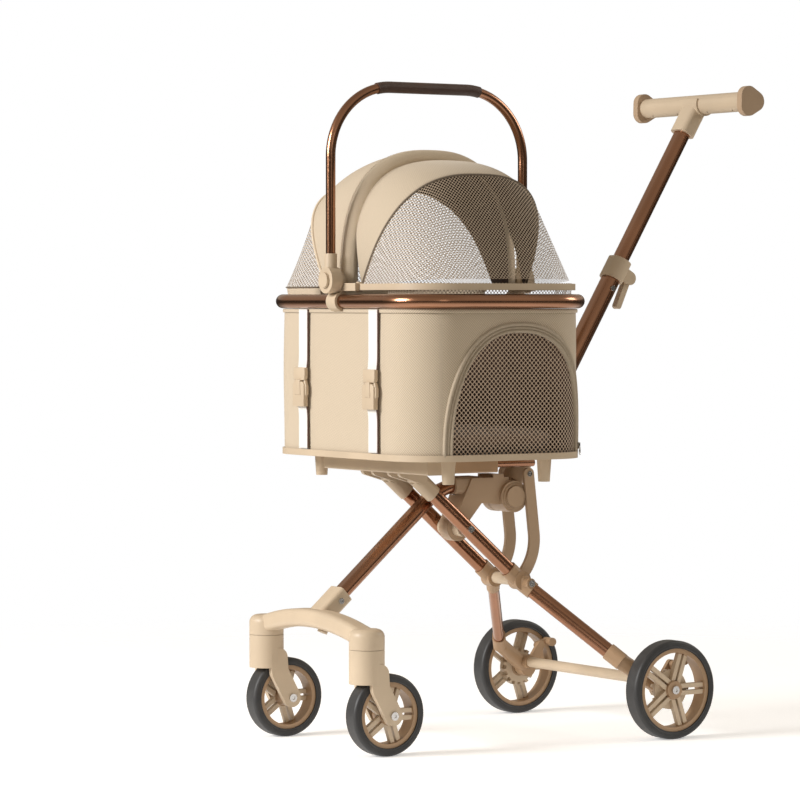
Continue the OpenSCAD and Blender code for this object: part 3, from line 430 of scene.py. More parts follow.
def netting(name, tint, pitch, hole):
    """Knitted mesh: staggered round holes between rounded yarns."""
    paint = Paint(name)
    at = paint.cloth()
    u, v = paint.part(at, "X") / pitch, paint.part(at, "Y") / pitch
    lattice = ((u * TURN).cosine() + (v * TURN).cosine()).absolute()
    solid = 1 - lattice * 0.5
    opening = lattice.ramp(hole - 0.10, hole + 0.10)
    yarn = paint.noise(at, 1800, 2)
    return paint.set(
        Base_Color=paint.mix(yarn, shade(tint, 0.75), shade(tint, 1.2)),
        Alpha=1 - opening,
        Roughness=0.62 + yarn * 0.15,
        Normal=paint.bump(solid, 0.00030, 0.5),
        Sheen_Weight=0.1,
    )


def woven_strap(name, tint):
    """Flat webbing with ribs across it and a denser edge; the grooves between ribs are painted darker as painted
    shade, with random soiling.
    """
    paint = Paint(name)
    at = paint.cloth()
    across, along = paint.part(at, "X"), paint.part(at, "Y")
    ribs = (along * (TURN / 0.0016)).sine() * 0.5 + 0.5
    weft = (across * (TURN / 0.0011)).sine() * 0.5 + 0.5
    edge = across.absolute().ramp(0.0105, 0.0122)
    soil = paint.noise(paint.place(), 60, 3)
    height = ribs * 0.6 + weft * 0.4 + edge * 0.5
    return paint.set(
        # Painted shade darkens the low parts of the weave; the soil noise adds real soiling.
        Base_Color=paint.mix(height * 0.4 + soil * 0.3, shade(tint, 0.82), tint),
        Roughness=0.72 + soil * 0.12,
        Normal=paint.bump(height, 0.0003, 0.5),
        Sheen_Weight=0.2,
    )


def leather(name, tint):
    """Fine pebbled leather, with painted shade in its pores, and paler where hands rub it."""
    paint = Paint(name)
    at = paint.place()
    cells = paint.node(
        "ShaderNodeTexVoronoi",
        {"feature": "DISTANCE_TO_EDGE"},
        {"Vector": at, "Scale": 620.0},
        "Distance",
    )
    pores = cells.ramp(0.0, 0.25)
    rub = paint.noise(at, 26, 3).ramp(0.4, 0.75)
    # Painted shade: the pores are painted darker.
    base = paint.mix(pores, shade(tint, 0.55), tint)
    return paint.set(
        Base_Color=paint.mix(rub * 0.35, base, shade(tint, 1.9)),
        Roughness=0.40 + pores * 0.08 + rub * 0.08,
        Normal=paint.bump(pores, 0.00022, 0.6),
        Coat_Weight=0.10,
    )


def quilt(name, tint):
    paint = Paint(name)
    at = paint.place()
    plush = paint.noise(at, 900, 4, 0.65)
    tuft = paint.noise(at, 90, 3)
    return paint.set(
        Base_Color=paint.mix(plush * 0.6 + tuft * 0.3, shade(tint, 0.78), shade(tint, 1.08)),
        Roughness=0.9,
        Normal=paint.bump(plush + tuft * 0.6, 0.0006, 0.6),
        Sheen_Weight=0.5,
    )


def matte(name, tint):
    """A pale floor that fades out away from the object."""
    paint = Paint(name)
    at = paint.place()
    x, y = paint.part(at, "X"), paint.part(at, "Y")
    away = (x * x + y * y).root().ramp(FLOOR_FADE_FROM, FLOOR_FADE_TO)
    return paint.set(
        Base_Color=tint,
        Roughness=0.85,
        Alpha=1 - away,
        Emission_Color=(1.0, 1.0, 1.0),
        Emission_Strength=0.35,
    )


# ---- Mesh helpers ----


def new_mesh(name, points, faces, smooth=True):
    mesh = bpy.data.meshes.new(name)
    mesh.from_pydata([tuple(p) for p in points], [], faces)
    mesh.validate()
    mesh.update()
    mesh.polygons.foreach_set("use_smooth", [smooth] * len(mesh.polygons))
    piece = bpy.data.objects.new(name, mesh)
    bpy.context.scene.collection.objects.link(piece)
    return piece


def quads(rows, columns, wrap=False):
    """Faces of a grid of points stored row by row."""
    last = columns if wrap else columns - 1
    found = []
    for i in range(rows - 1):
        for j in range(last):
            k = (j + 1) % columns
            found.append((i * columns + j, i * columns + k, (i + 1) * columns + k, (i + 1) * columns + j))
    return found


def store_cloth(piece, values):
    """Keeps each vertex's place along the cloth, in metres."""
    layer = piece.data.attributes.new("cloth", "FLOAT_VECTOR", "POINT")
    layer.data.foreach_set("vector", [c for u, v in values for c in (u, v, 0.0)])


def grid_piece(name, points, cloth=None, wrap=False):
    """A sheet from rows of points, with its cloth places."""
    flat = [p for row in points for p in row]
    piece = new_mesh(name, flat, quads(len(points), len(points[0]), wrap))
    if cloth is not None:
        store_cloth(piece, [c for row in cloth for c in row])
    return piece


def finish_piece(piece, body, material):
    piece.data.materials.append(material)
    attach(piece, body)
    return piece


def thicken(piece, thickness, offset=-1.0):
    solid = piece.modifiers.new("thickness", "SOLIDIFY")
    solid.thickness = thickness
    solid.offset = offset
    solid.use_even_offset = True
    return piece


def apply_modifiers(piece):
    bpy.context.view_layer.update()
    shaped = piece.evaluated_get(bpy.context.evaluated_depsgraph_get())
    mesh = bpy.data.meshes.new_from_object(shaped)
    piece.modifiers.clear()
    piece.data = mesh
    return piece


def sweep(name, path, normals, section, closed=False, cap=True):
    """Carries a flat section along a path. A section's point is (across, out); out follows the normals."""
    count = len(path)
    points = []
    cloth = []
    run = 0.0
    for i, (at, out) in enumerate(zip(path, normals)):
        ahead = path[(i + 1) % count] if closed or i < count - 1 else at
        behind = path[i - 1] if closed or i > 0 else at
        tangent = (ahead - behind).normalized()
        across = tangent.cross(out).normalized()
        up = across.cross(tangent).normalized()
        if i:
            run += (at - path[i - 1]).length
        for a, h in section:
            points.append(at + across * a + up * h)
            cloth.append((a, run))
    columns = len(section)
    rows = count + 1 if closed else count
    faces = []
    for i in range(rows - 1):
        for j in range(columns):
            k = (j + 1) % columns
            m = (i + 1) % count
            faces.append((i * columns + j, i * columns + k, m * columns + k, m * columns + j))
    if cap and not closed:
        faces.append(tuple(range(columns - 1, -1, -1)))
        faces.append(tuple((count - 1) * columns + j for j in range(columns)))
    piece = new_mesh(name, points, faces)
    store_cloth(piece, cloth)
    return piece


def round_section(radius, sides=12, squash=1.0):
    angles = [TURN * i / sides for i in range(sides)]
    return [(radius * math.cos(a), squash * radius * math.sin(a)) for a in angles]


def power(value, exponent):
    return math.copysign(abs(value) ** exponent, value)


def blended(a, b, share):
    return a + (b - a) * share


def joined(name, pieces):
    """Joins pieces into the first one."""
    with bpy.context.temp_override(
        active_object=pieces[0], selected_editable_objects=pieces, object=pieces[0]
    ):
        bpy.ops.object.join()
    pieces[0].name = name
    return pieces[0]


# ---- The bag's outline ----


class Outline:
    """The bag's plan: a rounded rectangle measured by s, from the middle of the left end towards the rear."""

    def __init__(self, corner, grow=0.0):
        self.radius = corner + grow
        self.flat_y = HALF_Y + grow - self.radius
        self.flat_x = HALF_X + grow - self.radius
        self.bend = self.radius * math.pi / 2
        self.length = 4 * (self.flat_x + self.flat_y + self.bend)

    def at(self, s):
        """The point and its outward direction."""
        s = (s + self.length / 2) % self.length - self.length / 2
        side = 1 if s >= 0 else -1
        s = abs(s)
        r = self.radius
        if s <= self.flat_y:
            point, out = (self.flat_x + r, s), (1, 0)
        elif s <= self.flat_y + self.bend:
            a = (s - self.flat_y) / r
            out = (math.cos(a), math.sin(a))
            point = (self.flat_x + r * out[0], self.flat_y + r * out[1])
        elif s <= self.flat_y + self.bend + 2 * self.flat_x:
            point, out = (self.flat_x - (s - self.flat_y - self.bend), self.flat_y + r), (0, 1)
        elif s <= self.flat_y + 2 * self.bend + 2 * self.flat_x:
            a = math.pi / 2 + (s - self.flat_y - self.bend - 2 * self.flat_x) / r
            out = (math.cos(a), math.sin(a))
            point = (-self.flat_x + r * out[0], self.flat_y + r * out[1])
        else:
            rest = s - self.flat_y - 2 * self.bend - 2 * self.flat_x
            point, out = (-self.flat_x - r, self.flat_y - rest), (-1, 0)
        return Vector((point[0], CENTRE_Y + side * point[1], 0)), Vector((out[0], side * out[1], 0))

    def wall(self, s, z, out=0.0):
        point, normal = self.at(s)
        return Vector((point.x + normal.x * out, point.y + normal.y * out, z))


class Window:
    """An end window's arch on the wall, as (s, z)."""

    SQUARENESS = 2.35

    def __init__(self, sizes, outline, end):
        self.outline = outline
        self.end = end
        middle = sizes.window_back
        self.s0 = middle if end > 0 else outline.length / 2 - middle
        self.half = sizes.window_half
        self.low = BASE_HIGH.z - 0.003
        self.high = sizes.window_high

    def point(self, t, inset=0.0):
        """A point on the arch, t from 0 (front or right side) to pi, moved in by inset."""
        e = 2 / self.SQUARENESS
        half, high = self.half - inset, self.high - inset
        return (self.s0 + half * power(math.cos(t), e), self.low + high * power(math.sin(t), e))

    def height(self, s, inset=0.0):
        share = min(1.0, abs(s - self.s0) / (self.half - inset))
        n = self.SQUARENESS
        return self.low + (self.high - inset) * (1 - share**n) ** (1 / n)


def bag_swell(s, z):
    """How far the cloth stands out: soft between the tray and the rim, with slow unevenness."""
    up = (z - BAG_LOW.z) / (BAG_HIGH.z - BAG_LOW.z)
    ease = math.sin(math.pi * min(1.0, max(0.0, up)))
    slow = math.sin(s * 9.1 + 0.6) * math.sin(z * 17 + s * 4.3) * 0.5 + math.sin(s * 23 - z * 31) * 0.2
    return ease * (0.0012 + 0.0009 * slow)


def arch_steps(count):
    return [math.pi * i / count for i in range(count + 1)]


def window_columns(window, count=72):
    """Places along the wall across a window, in rising order."""
    return sorted(window.point(t)[0] for t in arch_steps(count))


class STROLLER_OT_bag(bpy.types.Operator):
    """Sews the bag's wall with its two window openings, its floor and its top binding"""

    bl_idname = "stroller.bag"
    bl_label = "Bag"

    def execute(self, context):
        sizes, tints = context.scene.stroller_sizes, context.scene.stroller_colours
        outline = Outline(sizes.corner)
        windows = [Window(sizes, outline, 1), Window(sizes, outline, -1)]
        cloth = twill("bag_twill", tints.fabric)
        # Painted shade: the lining is painted very dark to stand for the shade inside the bag.
        painted_shade_lining = twill("bag_lining_cloth", tints.painted_shade_lining)
        wall = self.wall(sizes, outline, windows)
        wall.data.materials.append(cloth)
        finish_piece(wall, "carrier", painted_shade_lining)
        solid = thicken(wall, sizes.cloth).modifiers["thickness"]
        solid.material_offset = 1
        solid.material_offset_rim = 0
        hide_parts("carrier_bag")
        self.floor(sizes, painted_shade_lining)
        self.binding(outline, cloth)
        return {"FINISHED"}

    def wall(self, sizes, outline, windows):
        low, high = BAG_LOW.z + 0.001, BAG_HIGH.z
        columns = [(s, window) for window in windows for s in window_columns(window)]
        first, second = windows
        gaps = [
            (first.s0 + first.half, second.s0 - second.half),
            (second.s0 + second.half, first.s0 - first.half + outline.length),
        ]
        step = 0.006
        for start, end in gaps:
            count = int((end - start) / step)
            columns += [(start + (end - start) * i / count, None) for i in range(1, count)]
        columns.sort(key=lambda c: c[0])
        rows = 44
        points, places = [], []
        for i in range(rows + 1):
            row, place = [], []
            for s, window in columns:
                bottom = window.height(s) if window else low
                if window and bottom <= window.low + 1e-4:
                    bottom = low
                z = blended(bottom, high, i / rows)
                row.append(outline.wall(s, z, bag_swell(s, z) - 0.0015))
                place.append((s, z))
            points.append(row)
            places.append(place)
        return grid_piece("bag_wall", points, places, wrap=True)

    def floor(self, sizes, material):
        ring = Outline(sizes.corner, -0.0045)
        around, inwards = 96, 8
        z = BAG_LOW.z + 0.0025
        middle = Vector((0, CENTRE_Y, z))
        edge = [ring.wall(ring.length * j / around, z) for j in range(around)]
        rows = [[middle.lerp(point, i / inwards) for point in edge] for i in range(1, inwards + 1)]
        piece = grid_piece("bag_floor", rows, [[(p.x, p.y) for p in row] for row in rows], wrap=True)
        fill_hole(piece, around)
        finish_piece(thicken(piece, 0.003, 0), "carrier", material)

    def binding(self, outline, material):
        """A folded tape over the bag's top edge, sewn under the rim."""
        steps = 220
        path = [outline.wall(outline.length * i / steps, BAG_HIGH.z - 0.0032) for i in range(steps)]
        normals = [outline.at(outline.length * i / steps)[1] for i in range(steps)]
        lower = [(-0.003, 0.0), (-0.003, 0.0008), (-0.0015, 0.0013)]
        section = lower + [(-across, out) for across, out in reversed(lower)]
        tape = sweep("bag_top_binding", path, normals, section, closed=True)
        finish_piece(tape, "carrier", material)


def fill_hole(piece, count):
    """Closes the ring of the first vertices of a wrapped grid."""
    shape = bmesh.new()
    shape.from_mesh(piece.data)
    shape.verts.ensure_lookup_table()
    face = shape.faces.new([shape.verts[i] for i in range(count)])
    face.smooth = True
    shape.normal_update()
    bmesh.ops.recalc_face_normals(shape, faces=shape.faces)
    shape.to_mesh(piece.data)
    shape.free()


class STROLLER_OT_windows(bpy.types.Operator):
    """Adds the mesh panel, the piping and zip band, and the zip pull of each end window"""

    bl_idname = "stroller.windows"
    bl_label = "End windows"

    def execute(self, context):
        sizes, tints = context.scene.stroller_sizes, context.scene.stroller_colours
        outline = Outline(sizes.corner)
        net = netting("window_netting", tints.window, sizes.window_pitch, 0.62)
        trim = twill("piping_cloth", shade(tints.fabric, 0.86), lines=0.0012)
        metal = steel("zip_steel", tints.steel)
        for end, side in ((1, "left"), (-1, "right")):
            window = Window(sizes, outline, end)
            self.panel(sizes, window, side, net)
            self.band(sizes, window, side, trim)
            self.pull(sizes, window, side, metal)
        return {"FINISHED"}

    def panel(self, sizes, window, side, material):
        inset = sizes.piping_band - 0.002
        columns = sorted(window.point(t, inset)[0] for t in arch_steps(60))
        rows = 36
        points, places = [], []
        for i in range(rows + 1):
            row, place = [], []
            for s in columns:
                top = max(window.height(s, inset), window.low + 0.0005)
                z = blended(window.low, top, i / rows)
                row.append(window.outline.wall(s, z, bag_swell(s, z) - 0.0025))
                place.append((s, z))
            points.append(row)
            places.append(place)
        piece = grid_piece(f"window_mesh_{side}", points, places)
        finish_piece(piece, "carrier", material)

    def band(self, sizes, window, side, material):
        """Two cords with a zip between them, in one moulded-looking profile."""
        count = 120
        wide = sizes.piping_band
        rows, places = [], []
        profile = self.profile(sizes.piping, wide)
        run = 0.0
        last = None
        for t in arch_steps(count):
            row, place = [], []
            for inset, out in profile:
                s, z = window.point(t, inset)
                row.append(window.outline.wall(s, z, bag_swell(s, z) + out))
                place.append((inset, run))
            if last is not None:
                run += (row[0] - last).length
            last = row[0]
            rows.append(row)
            places.append(place)
        piece = grid_piece(f"window_piping_{side}", rows, places)
        finish_piece(thicken(piece, 0.0008, 1.0), "carrier", material)

    def profile(self, cord, wide):
        """The band's section: (inset from the outer edge, height)."""
        found = [(-0.0012, -0.0020)]
        bends = 7
        for centre, radius in ((cord, cord), (wide * 0.52, cord * 0.62), (wide - cord * 0.9, cord * 0.9)):
            for i in range(bends):
                a = math.pi * (1 - i / (bends - 1))
                found.append((centre + radius * math.cos(a), radius * 1.1 * math.sin(a) - 0.0004))
        found.append((wide + 0.0006, -0.0034))
        return found

    def pull(self, sizes, window, side, material):
        """A slider and a ring at the rear foot of the window."""
        s, z = window.point(0.0 if window.end > 0 else math.pi, sizes.piping_band / 2)
        point, out = window.outline.at(s)
        at = Vector((point.x, point.y, z + 0.012)) + out * 0.0042
        along = Vector((0, 0, 1))
        slider = sweep(
            f"zip_slider_{side}",
            [at + along * h for h in (-0.005, -0.0035, 0.0035, 0.005)],
            [out] * 4,
            round_section(0.0030, 12, 0.7),
        )
        centre = at - along * 0.008 + out * 0.0012
        sides = 28
        high, wide = along * 0.0062, out.cross(along) * 0.0050
        angles = [TURN * i / sides for i in range(sides)]
        path = [centre + (high * math.cos(a) + wide * math.sin(a)) for a in angles]
        ring = sweep(f"zip_ring_{side}", path, [out] * sides, round_section(0.0009, 8), closed=True)
        finish_piece(joined(f"zip_pull_{side}", [slider, ring]), "carrier", material)


# ---- Canopy ----


class Rib:
    """A canopy arch on the hinge line: foot x, tilt to the left, height, squareness and half span."""

    def __init__(self, x, tilt, height, squareness, half):
        self.x = x
        self.tilt = math.radians(tilt)
        self.height = height
        self.squareness = squareness
        self.half = half

    def point(self, t, out=0.0):
        e = 2 / self.squareness
        reach = (self.height + out) * power(math.sin(t), e)
        return Vector(
            (
                self.x + reach * math.sin(self.tilt),
                CENTRE_Y - (self.half + out) * power(math.cos(t), e),
                HINGE.z + reach * math.cos(self.tilt),
            )
        )

    def towards(self, other, share):
        made = Rib(0, 0, 0, 0, 0)
        for key in ("x", "tilt", "height", "squareness", "half"):
            setattr(made, key, blended(getattr(self, key), getattr(other, key), share))
        return made


def rib_angles(count, ends=0.3):
    start = math.radians(ends)
    return [start + (math.pi - 2 * start) * i / count for i in range(count + 1)]


def canopy_ribs(sizes):
    """The ribs that the canopy hangs on, from the right end to the left end."""
    reach = HALF_X - HINGE.x
    return {
        "base": Rib(-HINGE.x - 0.001, -90, reach - 0.001, 5, sizes.hood_v),
        "far": Rib(-HINGE.x - 0.001, -32, sizes.far_rib_h, 3.1, sizes.hood_v),
        "crown": Rib(sizes.crown_x, 0, CROWN_Z - HINGE.z, 2.6, sizes.hood_v),
        "near": Rib(HINGE.x, 29, sizes.near_rib_h, 2.7, sizes.near_v),
        "band": Rib(HINGE.x, 86, reach - 0.008, 5, sizes.near_v - 0.001),
    }


def cloth_places(rows):
    """Cloth places of a sheet given as rows of points: along each row, and from row to row."""
    places = []
    rise = 0.0
    middle = len(rows[0]) // 2
    for i, row in enumerate(rows):
        if i:
            rise += (row[middle] - rows[i - 1][middle]).length
        run = [0.0]
        for a, b in zip(row, row[1:]):
            run.append(run[-1] + (b - a).length)
        half = run[middle]
        places.append([(x - half, rise) for x in run])
    return places


def edge_cord(name, points, radius, body, material):
    centre = Vector((0, CENTRE_Y, HINGE.z))
    normals = [(p - centre).normalized() for p in points]
    return finish_piece(sweep(name, points, normals, round_section(radius, 10)), body, material)


class STROLLER_OT_hood(bpy.types.Operator):
    """Sews the fixed half of the hood: its cloth, the raised brim with its stitching, and the far mesh"""

    bl_idname = "stroller.hood"
    bl_label = "Hood"

    def execute(self, context):
        sizes, tints = context.scene.stroller_sizes, context.scene.stroller_colours
        ribs = canopy_ribs(sizes)
        cloth = twill("hood_twill", tints.fabric)
        # Painted shade: the hood's lining is painted very dark to stand for the shade under the hood.
        painted_shade_lining = twill("hood_lining_cloth", tints.painted_shade_lining)
        net = netting("canopy_netting", tints.mesh, sizes.mesh_pitch, 0.60)
        # Painted light: a lighter copy of the bag cloth, so the brim looks lit although it faces away from the key
        # light; the brim's stitching, the far rib piping and the foot strip share it.
        trim = twill("brim_painted_light_cloth", shade(tints.fabric, 1.25), lines=0.0022)
        angles = rib_angles(RIB_STEPS)
        hood = self.cloth_sheet(ribs, angles)
        hood.data.materials.append(cloth)
        finish_piece(hood, "carrier", painted_shade_lining)
        solid = thicken(hood, 0.0024).modifiers["thickness"]
        solid.material_offset = 1
        solid.material_offset_rim = 0
        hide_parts("canopy_hood")
        self.brim(ribs, angles, trim)
        self.far_mesh(ribs, angles, net)
        cord = twill("foot_piping_cloth", shade(tints.mesh, 0.4), lines=0.0012)
        self.foot(sizes, ribs, angles, trim, cord)
        line = [ribs["far"].point(t, 0.0006) for t in angles]
        edge_cord("far_rib_piping", line, 0.0024, "carrier", trim)
        return {"FINISHED"}

    def cloth_sheet(self, ribs, angles):
        rows = []
        count = 30
        for i in range(count + 1):
            share = i / count
            rib = ribs["far"].towards(ribs["crown"], share)
            swell = 0.004 * math.sin(math.pi * share)
            rows.append([rib.point(t, swell * math.sin(t)) for t in angles])
        rows.reverse()
        return grid_piece("hood_cloth", rows, cloth_places(rows))

    def brim(self, ribs, angles, material):
        """The hood's front edge turns down in a padded step."""
        crown = ribs["crown"]
        step = [
            (-0.004, 0.0012),
            (0.000, 0.0014),
            (0.004, 0.0002),
            (0.008, -0.0035),
            (0.0105, -0.0090),
            (0.0115, -0.0170),
        ]
        rows = []
        for dx, out in step:
            rows.append([crown.point(t, out) + Vector((dx, 0, 0)) for t in angles])
        piece = grid_piece("hood_brim", rows, cloth_places(rows))
        finish_piece(thicken(piece, 0.0012, -1.0), "carrier", material)
        line = [crown.point(t, 0.0012) + Vector((-0.011, 0, 0)) for t in angles]
        stitches("brim_stitching", line, "carrier", material)

    def far_mesh(self, ribs, angles, material):
        rows = []
        count = 14
        for i in range(count + 1):
            share = i / count
            rib = [ribs["base"].point(t).lerp(ribs["far"].point(t), share) for t in angles]
            sag = 0.004 * math.sin(math.pi * share)
            rows.append([p - Vector((-sag * 0.4, 0, sag)) for p in rib])
        piece = grid_piece("far_mesh_panel", rows, cloth_places(rows))
        finish_piece(piece, "carrier", material)
        hang(rows)

    def foot(self, sizes, ribs, angles, cloth, cord):
        """A strip of cloth that joins the far mesh's foot to the inside of the rim."""
        reach = HALF_X - HINGE.x
        rows = []
        for i in range(STRIP_STEPS + 1):
            share = i / STRIP_STEPS
            inset = blended(0.001, 0.005, share)
            rib = Rib(-HINGE.x - inset, -90, reach - inset, 5, sizes.hood_v - inset)
            rows.append(level_row(rib, angles, blended(HINGE.z, RIM_HIGH.z - STRIP_END, share)))
        piece = grid_piece("far_mesh_foot", rows, cloth_places(rows))
        finish_piece(thicken(piece, 0.0012), "carrier", cloth)
        line = [ribs["base"].point(t) for t in angles]
        edge_cord("far_mesh_foot_piping", line, 0.0012, "carrier", cord)


def level_row(rib, angles, z):
    """The plan of a rib, at one height."""
    return [Vector((p.x, p.y, z)) for p in (rib.point(t) for t in angles)]


def hang(rows):
    """Works out the width of a canopy sheet's flat cut from its rows, and keeps nothing."""
    places = cloth_places(rows)
    width = max(row[-1][0] - row[0][0] for row in places)


def stitches(name, line, body, material, length=0.0034, gap=0.0018, radius=0.00045):
    """A row of thread stitches along a line."""
    centre = Vector((0, CENTRE_Y, HINGE.z))
    run = [0.0]
    for a, b in zip(line, line[1:]):
        run.append(run[-1] + (b - a).length)

    def at(distance):
        for i in range(1, len(run)):
            if run[i] >= distance:
                share = (distance - run[i - 1]) / max(1e-9, run[i] - run[i - 1])
                return line[i - 1].lerp(line[i], share)
        return line[-1]

    points, faces, places = [], [], []
    sides = 6
    position = gap
    while position + length < run[-1]:
        ends = [at(position), at(position + length)]
        direction = (ends[1] - ends[0]).normalized()
        out = (ends[0] - centre).normalized()
        across = direction.cross(out).normalized()
        start = len(points)
        for share, size in ((0, 0.4), (0.2, 1), (0.8, 1), (1, 0.4)):
            middle = ends[0].lerp(ends[1], share)
            for k in range(sides):
                a = TURN * k / sides
                points.append(middle + (across * math.cos(a) + out * math.sin(a)) * radius * size)
                places.append((k * 0.0003, position + share * length))
        for i in range(3):
            for k in range(sides):
                m = (k + 1) % sides
                near, far = start + i * sides, start + (i + 1) * sides
                faces.append((near + k, near + m, far + m, far + k))
        faces.append(tuple(start + k for k in range(sides - 1, -1, -1)))
        faces.append(tuple(start + 3 * sides + k for k in range(sides)))
        position += length + gap
    piece = new_mesh(name, points, faces)
    store_cloth(piece, places)
    return finish_piece(piece, body, material)


class STROLLER_OT_near_canopy(bpy.types.Operator):
    """Sews the opening half of the canopy: the inner hood, its rib, the near mesh and its skirt"""

    bl_idname = "stroller.near_canopy"
    bl_label = "Opening canopy"

    def execute(self, context):
        sizes, tints = context.scene.stroller_sizes, context.scene.stroller_colours
        ribs = canopy_ribs(sizes)
        cloth = twill("inner_hood_twill", tints.fabric)
        # Painted shade: the inner hood's lining is painted very dark to stand for the shade under the canopy.
        painted_shade_lining = twill("inner_hood_lining_cloth", tints.painted_shade_lining)
        net = bpy.data.materials["canopy_netting"]
        dark = twill("rib_piping_cloth", shade(tints.mesh, 0.4), lines=0.0012)
        angles = rib_angles(RIB_STEPS)
        rows = []
        count = 20
        for i in range(count + 1):
            tilt = blended(-18, 28.5, i / count)
            swell = 0.0015 * math.sin(math.pi * i / count)
            rib = Rib(HINGE.x, tilt, sizes.near_rib_h - 0.0015, 2.7, sizes.near_v - 0.0015)
            rows.append([rib.point(t, swell * math.sin(t)) for t in angles])
        rows.reverse()
        hood = grid_piece("inner_hood_cloth", rows, cloth_places(rows))
        hood.data.materials.append(cloth)
        finish_piece(hood, "canopy_front", painted_shade_lining)
        solid = thicken(hood, 0.0020).modifiers["thickness"]
        solid.material_offset = 1
        solid.material_offset_rim = 0
        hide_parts("near_hood")
        hang(rows)
        line = [ribs["near"].point(t, -0.0006) for t in angles]
        edge_cord("near_rib_piping", line, 0.0019, "canopy_front", dark)
        self.mesh_panel(ribs, angles, net)
        self.skirt(net)
        return {"FINISHED"}

    def mesh_panel(self, ribs, angles, material):
        rows = []
        count = 28
        for i in range(count + 1):
            share = i / count
            rows.append([ribs["near"].point(t).lerp(ribs["band"].point(t), share) for t in angles])
        piece = grid_piece("near_mesh_panel", rows, cloth_places(rows))
        piece.data.materials.append(material)
        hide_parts("near_mesh")
        ends = [ribs[name].point(math.pi / 2) for name in ("near", "band")]
        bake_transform(piece)
        hang(rows)

    def skirt(self, material):
        """A strip of mesh that hangs from the band, inside the rim."""
        angles = rib_angles(RIB_STEPS, 8.0)
        half = (BAND_HIGH.y - BAND_LOW.y) / 2
        rows = []
        for i in range(STRIP_STEPS + 1):
            share = i / STRIP_STEPS
            inset = blended(0.004, 0.006, share)
            rib = Rib(HINGE.x, 90, HALF_X - HINGE.x - inset, 5, half - inset)
            rows.append(level_row(rib, angles, blended(BAND_HIGH.z - 0.002, RIM_HIGH.z - STRIP_END, share)))
        piece = grid_piece("near_mesh_skirt", rows, cloth_places(rows))
        finish_piece(piece, "canopy_band", material)


# ---- Cushion ----


class STROLLER_OT_cushion(bpy.types.Operator):
    """Stuffs the removable cushion and sews its channels"""

    bl_idname = "stroller.cushion"
    bl_label = "Cushion"

    # How much smaller the blank is on each side, and the most that stuffing may move it
    SLACK = 0.007
    MOST_SWELL = 0.006
    FRAMES = 20
    CHANNELS = 5
    CHANNEL_DEPTH = 0.0065

    def execute(self, context):
        tints = context.scene.stroller_colours
        low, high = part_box("cushion")
        pad = self.blank(low, high)
        self.stuff(pad)
        self.sew(pad, low, high)
        finish_piece(pad, "carrier", quilt("cushion_plush", tints.cushion))
        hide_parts("cushion")
        return {"FINISHED"}

    def blank(self, low, high):
        """A slightly small pad with rounded sides."""
        centre = (low + high) / 2
        half = (high - low) / 2
        shape = bmesh.new()
        bmesh.ops.create_cube(shape, size=2)
        bmesh.ops.subdivide_edges(shape, edges=shape.edges, cuts=23, use_grid_fill=True)
        for vert in shape.verts:
            x, y, z = vert.co
            n = 4.2
            swell = max(abs(x), abs(y))
            span = (abs(x) ** n + abs(y) ** n) ** (1 / n)
            squeeze = swell / span if span > 1e-6 else 1
            edge = 1 - 0.30 * swell**6
            vert.co = Vector(
                (
                    centre.x + x * squeeze * (half.x - self.SLACK),
                    centre.y + y * squeeze * (half.y - self.SLACK),
                    centre.z - 0.002 + z * (half.z - self.SLACK) * edge,
                )
            )
        mesh = bpy.data.meshes.new("cushion_pad")
        shape.to_mesh(mesh)
        shape.free()
        mesh.polygons.foreach_set("use_smooth", [True] * len(mesh.polygons))
        pad = bpy.data.objects.new("cushion_pad", mesh)
        bpy.context.scene.collection.objects.link(pad)
        return pad

    def stuff(self, pad):
        """Swells the pad under a little pressure, then keeps the result."""
        scene = bpy.context.scene
        remesh = pad.modifiers.new("even", "REMESH")
        remesh.mode = "VOXEL"
        remesh.voxel_size = 0.006
        apply_modifiers(pad)
        rest = [v.co.copy() for v in pad.data.vertices]
        cloth = pad.modifiers.new("cloth", "CLOTH")
        cloth.settings.use_pressure = True
        cloth.settings.uniform_pressure_force = 4
        cloth.settings.effector_weights.gravity = 0
        cloth.point_cache.frame_start = 1
        cloth.point_cache.frame_end = self.FRAMES
        for number in range(1, self.FRAMES + 1):
            scene.frame_set(number)
        apply_modifiers(pad)
        scene.frame_set(1)
        for vert, start in zip(pad.data.vertices, rest):
            moved = vert.co - start
            if moved.length > self.MOST_SWELL:
                vert.co = start + moved.normalized() * self.MOST_SWELL

    def sew(self, pad, low, high):
        """Sewn channels across the top."""
        smooth = pad.modifiers.new("smooth", "SUBSURF")
        smooth.levels = smooth.render_levels = 1
        apply_modifiers(pad)
        spacing = (high.x - low.x) / self.CHANNELS
        middle = (low.z + high.z) / 2
        for vert in pad.data.vertices:
            x, y, z = vert.co
            if z <= middle:
                continue
            across = (x - low.x) / spacing
            from_seam = abs(across - round(across)) * spacing
            inside = min(x - low.x, high.x - x, y - low.y, high.y - y)
            share = math.exp(-((from_seam / 0.007) ** 2)) * min(1.0, max(0.0, inside / 0.02))
            vert.co.z = max(z - self.CHANNEL_DEPTH * share, middle)
        pad.data.polygons.foreach_set("use_smooth", [True] * len(pad.data.polygons))


# ---- Straps and buckles ----


def mirrored(half):
    """A whole outline from its right half, given from the bottom up."""
    return half + [(-x, z) for x, z in reversed(half)]


